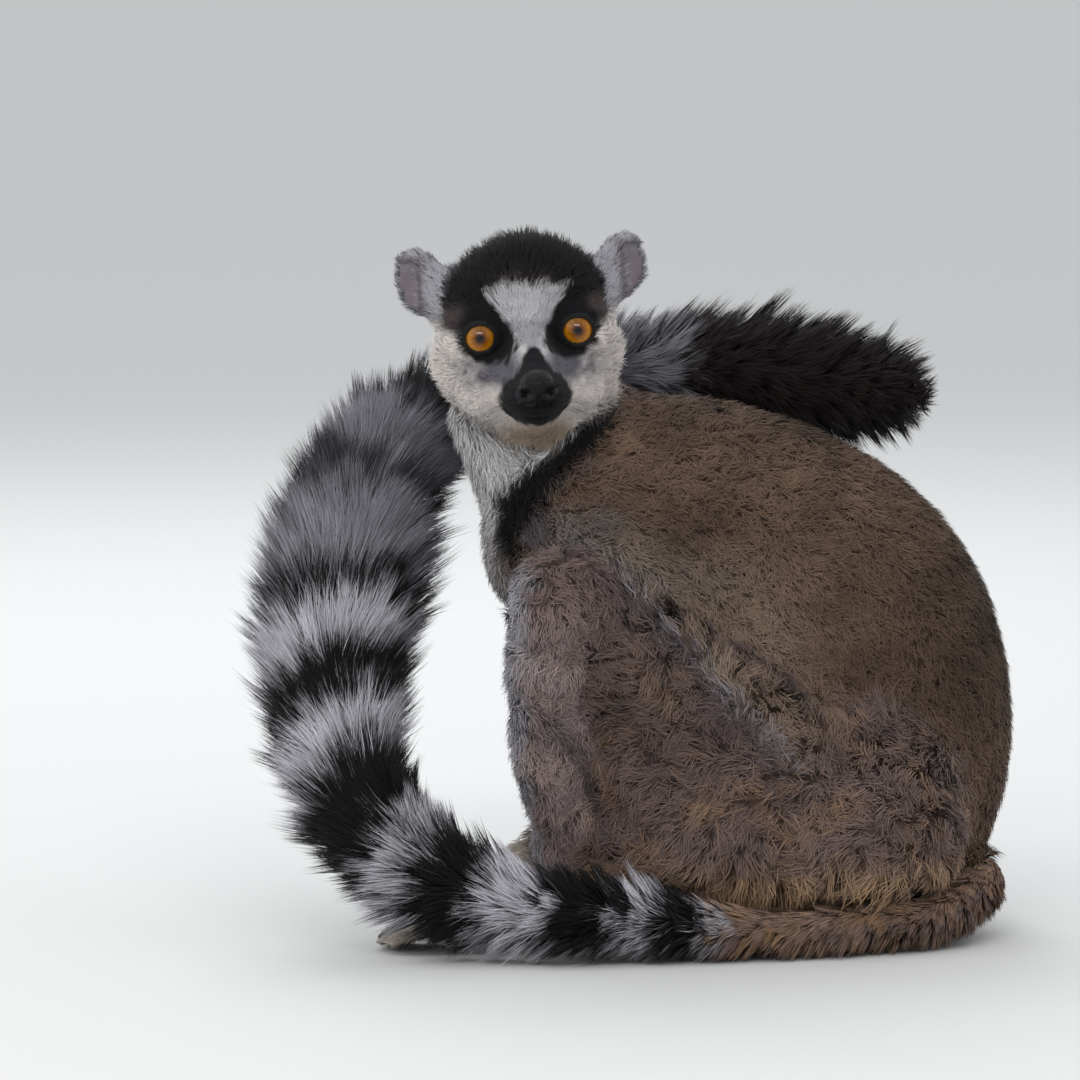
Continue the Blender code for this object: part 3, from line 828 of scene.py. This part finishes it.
hair_long, rise, swirl, locked, curl = (share @ v for v in zip(*[HAIR[p] for p in PARTS]))
left_side = places[:, 1] < middle("trunk")[1]
low, high = np.array(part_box("trunk"))
barrel = low + (high - low) * (0.48, 0.5, 0.45)
spoke = (places - barrel) / (high - low)
round_back = np.stack((spoke[:, 2], np.zeros(len(places)), -spoke[:, 0]), axis=1)
far_out = step(0.05, 0.45, np.hypot(spoke[:, 0], spoke[:, 2]))[:, None]
flank = unit(round_back) * far_out * 1.3 + np.array((0.55, 0, -0.6))
chest = step(0, -8, (places[:, 0] / MM - np.interp(places[:, 2] / MM, BAND_HEIGHTS, BAND_PLACES)))
flank += chest[:, None] * (np.array((0.2, 0, -1)) * 2.2 - flank)
ways = {p: np.zeros_like(places) for p in PARTS}
ways["trunk"] = flank
nape = 0.9 * step(-0.1, 0.7, outward[:, 2])[:, None]
ways["neck"] = (0.12, 0, -1) + nape * (1, 0, 0.6)
ways["head"] = ways["nose"] = places - middle("nose")
ways["ear"] = places - from_head((0, -6, -22))
for side, here in (("left", left_side), ("right", ~left_side)):
    hip = end_of("thigh_" + side, 0, 0.2, True)
    knee = end_of("shank_" + side, 2, 0.1, True)
    ankle = end_of("shank_" + side, 2, 0.1, False)
    shoulder = end_of("arm_" + side, 2, 0.15, True)
    wrist = end_of("arm_" + side, 2, 0.1, False)
    high_up = step(35 * MM, 90 * MM, places[here, 2])[:, None]
    ways["thigh"][here] = unit(knee - hip) * high_up + np.array((-0.45, 0, -0.9)) * (1 - high_up)
    ways["shank"][here] = unit(ankle - knee)
    ways["arm"][here] = unit(wrist - shoulder)
    for limb in ("hand", "foot"):
        toes = end_of(f"{limb}_{side}", 0, 0.15, False)
        ways[limb][here] = unit(toes - end_of(f"{limb}_{side}", 0, 0.15, True))
ways["tail"] = tail_ahead[at_tail]
lie = evened(sum(unit(ways[p]) * own[p][:, None] for p in PARTS), edges, 4)
on_crown = edge_of(norm(to_head(places) - (0, 24, -22)) - 26, 12)
turn = swirl * (waves(places, 22 * MM, 11) + 0.5 * waves(places, 9 * MM, 12))
turn += 0.5 * on_crown * waves(places, 5 * MM, 13)
lie = squared(lie, outward)
lie = turned(lie, np.cross(outward, lie), turn)

# how long the hair is, shortest round the nose, the eyes and the mouth
a, b, c = to_head(places).T
nose_off = norm(to_head(places) - (0, -17, 24))
eye_off = off_eyes(a, b)
face_long = 0.9 + 4.6 * step(12, 50, nose_off) - 1.6 * step(13, 8, eye_off) * (c > -12)
face_long += 2.6 * step(17, 30, np.hypot(a, 0.7 * (b + 6))) * step(10, -10, b)
face_long = np.maximum(face_long, 0.7)
is_face = np.clip(own["head"] + own["nose"], 0, 1)
crown = edge_of(np.hypot(a, b - 26) - 22, 10) * (b > 12)
face_long -= 0.5 * crown
hair_long += (face_long - hair_long) * is_face
rise += (20 + 8 * step(3, 9, face_long) + 26 * crown - rise) * is_face
hair_long *= 1 - 0.3 * parting(places) * (own["thigh"] + 0.6 * own["shank"])
tip_off = np.array([tip_near.find(p)[2] for p in places])
hair_long *= 0.3 + 0.7 * step(3 * MM, 9 * MM, tip_off)
# stray hairs stand up from the crown, the jowls and the throat
stray = is_face * (crown + 0.5 * step(22, 32, np.hypot(a, 0.7 * (b + 6))) * (b < 6))
# the wool along the foot of the haunch hangs down in a fringe over the root of the tail
fringe = own["thigh"] * step(36 * MM, 24 * MM, places[:, 2]) * step(0.3, 0.9, np.abs(outward[:, 1]))
hair_long += FRINGE_LONG * fringe
curl *= 1 - 0.6 * fringe

# ------------------------------
# The coat: thousands of small pointed locks, each a thin blade rooted in the skin. It leaves the skin at
# a slant, bends over to lie along the body and is drawn in to its neighbours.
HAIRS_IN_LOCK = 20
STRAYS, STRAY_LONG = 0.22, 0.35  # share of the hairs, and how much longer they are
WIDEST = 0.33  # millimetres
BAKE_PATCH = 0.003  # side of a lock's patch on the flat
# where a lock starts to look for what it would meet, how far past its tip, and how near it goes
CLEAR_FROM, CLEAR_PAST, CLEAR_SHARE = 0.4 * MM, 1.3, 0.75

form = bmesh.new()
form.from_mesh(skin.data)
bmesh.ops.triangulate(form, faces=form.faces)
skin_tree = BVHTree.FromBMesh(form)
triangles = read(mesh_of(form, "thin skin").polygons, "vertices", 3, np.int64)
corners = places[triangles]
face_normal = np.cross(corners[:, 1] - corners[:, 0], corners[:, 2] - corners[:, 0])
face_area = norm(face_normal) / 2 / MM ** 2
face_middle = corners.mean(axis=1)
face_part = share[triangles].mean(axis=1).argmax(axis=1)
face_left = face_middle[:, 1] < middle("trunk")[1]


def unwrapped(faces):
    """A flat plan of some of the skin's triangles, without overlaps, cut along its sharp turns."""
    used, renumbered = np.unique(triangles[faces], return_inverse=True)
    plan = bpy.data.meshes.new("plan")
    plan.from_pydata(places[used].tolist(), [], renumbered.reshape(-1, 3).tolist())
    sheet = placed("plan", plan)
    bpy.context.view_layer.objects.active = sheet
    sheet.select_set(True)
    bpy.ops.object.mode_set(mode="EDIT")
    bpy.ops.mesh.select_all(action="SELECT")
    bpy.ops.uv.smart_project(angle_limit=math.radians(66), island_margin=0.004)
    bpy.ops.object.mode_set(mode="OBJECT")
    flat = read(plan.uv_layers.active.data, "uv", 2).reshape(-1, 3, 2)
    bpy.data.objects.remove(sheet)
    bpy.data.meshes.remove(plan)
    return flat


def sown(faces, per_mm2, hairs_each, seed):
    """Roots spread evenly over triangles of the skin: a reader of the skin's values where they
    are, their places on a flat plan of the triangles, for each the root that leads its lock, and
    two draws of chance, one even between two values and one that gathers about 0."""
    chance = np.random.default_rng(seed)
    reach = np.cumsum(face_area[faces] * per_mm2)
    count = int(reach[-1])
    drawn = (np.arange(count) + chance.uniform(0, 1, count)) * reach[-1] / count
    which = np.minimum(np.searchsorted(reach, drawn), len(faces) - 1)
    one, two = chance.uniform(0, 1, (2, count))
    flip = one + two > 1
    one, two = np.where(flip, 1 - one, one), np.where(flip, 1 - two, two)
    weights = np.stack((1 - one - two, one, two), axis=1)
    rows = triangles[faces[which]]

    def at(values):
        return np.einsum("nk,nk...->n...", weights, values[rows])

    plan = np.einsum("nk,nkd->nd", weights, unwrapped(faces)[which])
    luck = np.random.default_rng(seed + 1)
    leaders = luck.choice(count, max(count // hairs_each, 1), replace=False)
    chief = leaders[nearest_of(at(places)[leaders])(at(places))]
    return (at, plan, chief, lambda low, high: luck.uniform(low, high, count),
            lambda width: luck.normal(0, width, count))


def clear_way(roots, aims, reach):
    """How far a lock may grow before it would meet another part of the body."""
    free = np.array(reach, dtype=float)
    for k, (root, aim, far) in enumerate(zip(roots, aims, reach)):
        hit = skin_tree.ray_cast(Vector(root + aim * CLEAR_FROM), Vector(aim), far * CLEAR_PAST)
        if hit[0] is not None:
            free[k] = hit[3] * CLEAR_SHARE
    return free


def finished(name, mesh, look, slot):
    """A piece of the still body, in its material."""
    mesh.materials.append(look)
    made = placed(name, mesh)
    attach(made, "root")


def blades(name, slot, roots, up, ahead, lengths, widths, first_rise, last_rise, pull, kink, roll,
           chief, shade, plan):
    """One piece of pointed blades, each of a broad half and a tapering half. Lengths and widths in
    metres, rises and roll in radians; kink swings the tip aside, pull draws it to its chief's, shade
    holds the colours at root, middle and tip, with painted shade at the root, and plan the roots on the
    flat."""
    count = len(roots)
    lengths, pull, kink = (v[:, None] for v in (lengths, pull, kink))
    middles = roots + lengths * 0.5 * turned(ahead, up, first_rise)
    tips = middles + lengths * 0.5 * turned(ahead, up, last_rise)
    tips += lengths * kink * np.cross(up, ahead)
    tips += pull * (tips[chief] - tips)
    middles += 0.4 * pull * (middles[chief] - middles)
    middles[:, 2] = np.maximum(middles[:, 2], 0.5 * MM)
    tips[:, 2] = np.maximum(tips[:, 2], 0.3 * MM)
    along = unit(tips - roots)
    side = unit(np.cross(along, up))
    ridge = np.cross(side, along)
    side, ridge = turned(side, ridge, roll), turned(ridge, -side, roll)
    half = side * widths[:, None] * 0.5
    sunk = up * 0.3 * MM
    points = np.stack((roots - half * 0.8 - sunk, roots + half * 0.8 - sunk, middles - half,
                       middles + half, tips), axis=1)
    soft = up * 0.75 + ridge * 0.35
    shine = unit(np.stack((soft - side * 0.4, soft + side * 0.4) * 2 + (soft,), axis=1))
    corner_order = np.array((0, 1, 3, 2, 2, 3, 4))
    loops = (np.arange(count)[:, None] * 5 + corner_order).ravel()
    sizes = np.tile((4, 3), count)
    mesh = bpy.data.meshes.new(name)
    mesh.vertices.add(count * 5)
    mesh.vertices.foreach_set("co", points.ravel())
    mesh.loops.add(len(loops))
    mesh.loops.foreach_set("vertex_index", loops)
    mesh.polygons.add(len(sizes))
    mesh.polygons.foreach_set("loop_start", np.r_[0, np.cumsum(sizes)[:-1]])
    mesh.polygons.foreach_set("loop_total", sizes)
    mesh.update(calc_edges=True)
    mesh.shade_smooth()
    mesh.normals_split_custom_set_from_vertices(shine.reshape(-1, 3).tolist())
    set_colours(mesh, shade[:, (0, 0, 1, 1, 2)].reshape(-1, 3))
    spots = np.array(((-1, -1), (1, -1), (-1, 0), (1, 0), (0, 1))) * BAKE_PATCH / 2
    flat = (plan[:, None] + spots[corner_order]).ravel()
    mesh.uv_layers.new(name="OFBake").data.foreach_set("uv", flat)
    finished(name, mesh, coat_look, slot)


coat_look = look_from("coat", 0.75, 0.08, 0.5 * MM, 0.04 * MM)


def blade_width(hair):
    """The breadth of a lock in millimetres, for the length of its hair."""
    return 0.20 + 0.014 * hair


def short_coat(name, faces, layers, slot, seed):
    """The coat over some triangles of the skin: short blades that lie along the body."""
    face_long = hair_long[triangles[faces]].mean(axis=1)
    broad = blade_width(face_long)
    at, plan, chief, even, bell = sown(faces, layers / (0.6 * broad * face_long), HAIRS_IN_LOCK, seed)
    roots, up, ahead = at(places), unit(at(outward)), unit(at(lie))
    loose = 0.2 + at(curl)
    wobble = bell(1) * loose + (bell(1) * loose)[chief]
    ahead = unit(turned(ahead, np.cross(up, ahead), wobble))
    strays = at(stray) * (even(0, 1) < STRAYS)
    lengths = at(hair_long) * even(0.7, 1.25) * (1 + STRAY_LONG * strays) * MM
    slant = np.radians(at(rise)) * even(0.8, 1.2)
    free = clear_way(roots, unit(turned(ahead, up, slant)), lengths)
    lengths = np.minimum(lengths, np.maximum(free, 0.4 * lengths))
    widths = np.minimum(blade_width(at(hair_long)), WIDEST) * MM * even(0.7, 1.3)
    own = by_part(at(share))
    tones = coat_colour(roots + ahead * lengths[:, None] * 0.7, up, own)
    tones *= (even(0.93, 1.07) * even(0.93, 1.07)[chief])[:, None]
    fleck = even(0, 1) * own["trunk"]
    fleck = np.where(fleck > 0.87, 0.6, np.where(fleck > 0.7, 1.35, 1.08))
    # painted shade: each lock darker towards its root, less so in the pale hair of the head and neck; the
    # trunk's locks carry light and dark flecks at their tips
    pale = own["neck"] + own["head"]
    root_shade = 0.86 - 0.16 * (1 - 0.8 * pale) * step(3 * MM, 8 * MM, lengths)
    shade = np.stack([tones * v[:, None] for v in (root_shade, 0.5 + 0.5 * root_shade, fleck)], axis=1)
    blades(name, slot, roots, up, ahead, lengths, widths, slant * 1.3, slant * (0.35 + 0.6 * strays),
           at(locked) * even(0.6, 1), at(curl) * bell(1), bell(0.5), chief, shade, plan)


part_is = {p: face_part == k for k, p in enumerate(PARTS)}
on_face = (hair_long[triangles].mean(axis=1) < 4.2) & (part_is["head"] | part_is["nose"])
a, b, c = to_head(face_middle).T
bare_skin = (off_eyes(a, b) < EYE_OPEN + 0.9) & (c > -12)
bare_skin |= part_is["nose"] | (np.hypot(a / 7.2, (b - NOSTRIL_RISE) / 5.0) < 1) & (c > 12)
bowl = (side_of_ear(a, b) > 1.5) & (face_normal @ head_c > 0.1 * norm(face_normal))
leg = part_is["thigh"] | part_is["shank"]
coats = (
    ("coat_face", on_face & ~bare_skin, 3.3, "coat_pale"),
    ("coat_head", part_is["head"] & ~on_face & ~bare_skin, 5.0, "coat_pale"),
    ("coat_ears", part_is["ear"] & ~bowl, 4.2, "coat_pale"),
    ("coat_neck", part_is["neck"], 7.5, "coat_pale"),
    ("coat_back_left", part_is["trunk"] & face_left, 3.4, "coat_back"),
    ("coat_back_right", part_is["trunk"] & ~face_left, 2.2, "coat_back"),
    ("coat_leg_left", leg & face_left, 3.9, "coat_back"),
    ("coat_leg_right", leg & ~face_left, 2.4, "coat_back"),
    ("coat_arms", part_is["arm"], 2.1, "coat_pale"),
    ("coat_hands_and_feet", part_is["hand"] | part_is["foot"], 0.36, "coat_pale"),
)
for k, (name, chosen, layers, slot) in enumerate(coats):
    short_coat(name, np.flatnonzero(chosen), layers, slot, 100 + 10 * k)

# ------------------------------
# The brush of the tail: long hairs that stand out from the thin tail and sweep to its tip, in
# spiky locks. Each ring's colour is that of the hairs where they end.
BRUSH_LIFT = math.radians(52)
BRUSH_HAIRS = 52000  # in each of three lengths of the tail
HAIRS_IN_SPIKE = 36
RING_TILT = 8  # how much lower the rings reach on the outside of the bend, in millimetres
# how full the brush is along the tail, in millimetres from its root
FULL_AT, FULL_SHARE = (0, 330, 380, 430, 480, 530), (1, 1, 0.86, 0.76, 0.86, 1)


def long_coat(name, faces, seed):
    """The brush over some triangles of the thin tail."""
    per_mm2 = BRUSH_HAIRS / face_area[faces].sum()
    at, plan, chief, even, bell = sown(faces, per_mm2, HAIRS_IN_SPIKE, seed)
    roots, up = at(places), unit(at(outward))
    spot = tail_near(roots)
    ahead = tail_ahead[spot]
    near_rump = step(PALE_UNTIL + 15, PALE_UNTIL - 35, spot)
    ahead = unit(ahead + near_rump[:, None] * np.array((0, 0, -0.5)))
    up = squared(up, ahead)
    reach = tail_thick[spot] - norm(roots - tail_line[spot])
    ragged = 1 + 0.10 * waves(roots, 16 * MM, seed) + bell(0.08)
    ragged += bell(0.09)[chief]
    lengths = np.maximum(reach, 3 * MM) / math.sin(BRUSH_LIFT) * ragged
    lengths *= np.interp(spot, FULL_AT, FULL_SHARE)
    lengths *= 1 - 0.5 * even(0, 1) ** 1.7
    lengths = np.maximum(lengths, 4 * MM)
    wobble = bell(0.15) + bell(0.13)[chief]
    wobble += 0.22 * waves(roots, 20 * MM, seed + 3)
    leaning = unit(turned(ahead, np.cross(up, ahead), wobble))
    lift = BRUSH_LIFT * (1 - 0.3 * near_rump) * (1 + bell(0.10)[chief])
    free = clear_way(roots, unit(turned(leaning, up, lift)), lengths)
    lengths = np.minimum(lengths, np.maximum(free * 1.2, 2.5 * MM))
    far = spot + lengths / MM * 0.72 + bell(1.5) + bell(2.2)[chief]
    far += RING_TILT * (up @ (-0.9, 0, -0.4)) * hump(spot - 290, 55)
    tones = tail_colour(far, roots)
    tones *= (even(0.85, 1.12) * even(0.88, 1.1)[chief])[:, None]
    # painted shade: each hair of the brush darker towards its root, a little lighter at its tip
    shade = np.stack((tones * 0.35, tones * 0.85, tones * 1.12), axis=1)
    blades(name, "coat_dark", roots, up, leaning, lengths, even(0.22, 0.42) * MM,
           lift * 1.1, lift * 0.84, even(0.2, 0.6), bell(0.07), even(-1.2, 1.2), chief, shade, plan)


tail_faces = np.flatnonzero(part_is["tail"])
tail_place = tail_near(face_middle[tail_faces])
ends = (-1, *np.quantile(tail_place, (1 / 3, 2 / 3)), np.inf)
for k, (low_end, high_end) in enumerate(zip(ends, ends[1:]), 1):
    length = tail_faces[(tail_place > low_end) & (tail_place <= high_end)]
    long_coat(f"coat_tail_{k}", length, 300 + 10 * k)

# ------------------------------
# The eyes: each a moist ball with a clear bulge in front, an orange iris of fine spokes that darkens at
# its rim and has a painted shadow of the upper lid over its top half, and a small pupil. They are set in
# behind the lids and look straight ahead.
IRIS_HALF, BULGE_HALF, BULGE_HIGH = 5.7, 5.9, 0.55
IRIS_COLOURS = linear(((0.01, 0.01, 0.01), (0.30, 0.15, 0.02), (0.54, 0.32, 0.03),
                       (0.66, 0.43, 0.06), (0.36, 0.18, 0.02), (0.03, 0.025, 0.028)))
IRIS_STOPS = (0.18, 0.26, 0.46, 0.66, 0.84, 0.93)  # of its radius, from the pupil out

eye_look, eye_tree, wet = material(
    "eye", Roughness=0.3, Specular_IOR_Level=0.05, Coat_Weight=1.0, Coat_IOR=1.38, Coat_Roughness=0.03)
eye_tree.links.new(marking_in(eye_tree).outputs["Color"], wet.inputs["Base Color"])

for side in ("left", "right"):
    form = bmesh.new()
    bmesh.ops.create_uvsphere(form, u_segments=96, v_segments=64, radius=EYE_RADIUS)
    ball = np.array([v.co for v in form.verts])
    off = np.hypot(ball[:, 0], ball[:, 1])
    front = ball[:, 2] > 0
    ball[:, 2] += front * BULGE_HIGH * np.clip(1 - (off / BULGE_HALF) ** 2, 0, 1)
    angle = np.arctan2(ball[:, 1], ball[:, 0])
    chance = np.random.default_rng(21 if side == "left" else 22)
    spokes = sum(np.sin(n * angle + chance.uniform(0, 6.3)) * chance.uniform(0.4, 1)
                 for n in (11, 17, 23, 31, 43, 47)) / 3
    out = np.where(front, off / IRIS_HALF, 2) + 0.02 * spokes
    tone = np.stack([np.interp(out, IRIS_STOPS, IRIS_COLOURS[:, k]) for k in range(3)], axis=1)
    tone *= (1 + 0.28 * spokes * hump(out - 0.62, 0.28))[:, None]
    # painted shadow of the upper lid: the upper half of the iris darkened
    tone *= (1 - 0.6 * step(0.5, 4.5, ball[:, 1]))[:, None]
    for vert, place in zip(form.verts, ball):
        vert.co = Vector(eye_mid[side] + place @ head_axes * MM)
    mesh = mesh_of(form, "eyeball_" + side)
    mesh.shade_smooth()
    set_colours(mesh, tone)
    mesh.materials.append(eye_look)
    eyeball = placed("eyeball_" + side, mesh)
    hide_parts("eye_" + side)
    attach(eyeball, "root")

# ------------------------------
# The nails: a small flat dark nail on every finger and toe, seated on the skin near the end that
# the digit has in the solids.
NAIL = np.array((1.5, 1.2, 0.45))  # half of its length, breadth and thickness in millimetres

form = bmesh.new()
for found in digits.values():
    for tip, ahead in found:
        near = places[norm(places - tip) < DIGIT_APART]
        tip = near[np.argmax(near @ ahead)]
        hit = skin_tree.find_nearest(Vector(tip - ahead * 1.6 * MM + (0, 0, 5 * MM)))
        top = unit(np.array(hit[1]) + (0, 0, 0.5))
        side = unit(np.cross(ahead, top))
        ahead = np.cross(top, side)
        made = bmesh.ops.create_icosphere(form, subdivisions=3, radius=1)
        seat = np.array(hit[0]) + ahead * 0.6 * MM
        for vert in made["verts"]:
            x, y, z = np.array(vert.co) * NAIL
            z -= 0.10 * y * y + 0.05 * np.clip(x, 0, None) ** 2
            y *= 1 - 0.12 * x
            vert.co = Vector(seat + (x * ahead + y * side + z * top) * MM)
horn = look_from("horn", 0.32, 0.0, 1.5 * MM, 0.05 * MM)


def horny(form, name, colour, slot):
    """A smooth piece of horn, in one colour."""
    mesh = mesh_of(form, name)
    mesh.shade_smooth()
    set_colours(mesh, np.tile(colour, (len(mesh.vertices), 1)))
    finished(name, mesh, horn, slot)


horny(form, "nails", linear((0.30, 0.25, 0.235)), "bare_skin")

# ------------------------------
# The whiskers: a spray of fine dark hairs from the pads beside the nose, which bend a little down
# and back, and a few above each eye.
WHISKER_THICK = 0.08  # radius at the root, in millimetres
SIDES, JOINTS = 4, 6

form = bmesh.new()
chance = np.random.default_rng(31)
for side in (-1, 1):
    starts = [(side * (5.5 + 1.7 * column), -19.5 - 1.9 * row) for row in range(3) for column in range(2)]
    starts += [(side * (9.0 + 1.6 * k), 10.4 + 0.5 * k) for k in range(3)]
    for k, (a, b) in enumerate(starts):
        muzzle_hair = k < 6
        hit = skin_tree.ray_cast(Vector(from_head((a, b, 60))), Vector(-head_c))
        if hit[0] is None:
            continue
        root = np.array((a, b, to_head(np.array(hit[0]))[2]))
        sweep = np.array((side * 1.0, -0.25, 0.30) if muzzle_hair else (side * 0.5, 1.0, 0.5))
        sweep = unit(sweep + chance.normal(0, 0.14, 3))
        length = chance.uniform(13, 21) if muzzle_hair else chance.uniform(7, 11)
        *line, end = [root + sweep * length * t + np.array((0, -0.12, -0.18)) * length * t * t
                      for t in np.linspace(-0.02, 1, JOINTS + 1)]
        across = unit(np.cross(sweep, (0.1, 0.9, 0.4)))
        beside = np.cross(sweep, across)
        thin = [WHISKER_THICK * (1 - j / (JOINTS + 1)) for j in range(JOINTS)]
        circles = [circle(place, across, beside, t, SIDES) for place, t in zip(line, thin)]
        rings = tube(form, [from_head(c) for c in circles])
        point = form.verts.new(from_head(end))
        for n in range(SIDES):
            form.faces.new((rings[-1][n], rings[-1][n - 1], point))
        form.faces.new(rings[0])
bmesh.ops.recalc_face_normals(form, faces=form.faces)
horny(form, "whiskers", COLOUR["black"], "coat_dark")

# ------------------------------
# The studio: a wide pale floor under an even pale sky, one large soft light from the front left,
# one from behind and above for the edges of the coat, and a long one above the lens, for a spark
# in the eyes.
FLOOR_RINGS, FLOOR_SIDES = (0.6, 4, 180), 64

form = bmesh.new()
along_x, along_y = np.eye(3)[:2]
rings = tube(form, [circle(np.zeros(3), along_x, along_y, r, FLOOR_SIDES) for r in FLOOR_RINGS])
form.faces.new(rings[0])
floor_mesh = mesh_of(form, "floor")
floor_mesh.shade_smooth()
floor = placed("floor", floor_mesh)
floor_look, _, _ = material("floor paint", Base_Color=(0.72, 0.72, 0.71, 1), Roughness=0.8)
floor_mesh.materials.append(floor_look)
floor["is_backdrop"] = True


def soft_light(name, place, power, width, height, colour):
    lamp = bpy.data.lights.new(name, "AREA")
    lamp.shape = "RECTANGLE"
    lamp.energy = power
    lamp.size = width
    lamp.size_y = height
    lamp.color = colour
    light = placed(name, lamp)
    light.location = place
    light.rotation_euler = (VIEW_AIM - Vector(place)).to_track_quat("-Z", "Y").to_euler()


soft_light("key", (-1.5, -1.4, 1.6), 12, 2.0, 2.0, (1, 0.98, 0.96))
soft_light("rim", (-0.3, 1.3, 1.5), 14, 1.0, 1.0, (0.95, 0.98, 1))
soft_light("spark", (0.0, -2.0, 1.5), 16, 1.4, 0.4, (1, 1, 1))
world = bpy.data.worlds.new("studio")
world.use_nodes = True
set_up(world.node_tree.nodes["Background"], Color=(0.95, 0.97, 1, 1), Strength=0.76)
scene.world = world
scene.view_settings.view_transform = "Standard"

bpy.context.view_layer.update()
visual_low, visual_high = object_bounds()
[list(map(float, v)) for v in (cad_low, cad_high, visual_low, visual_high)]
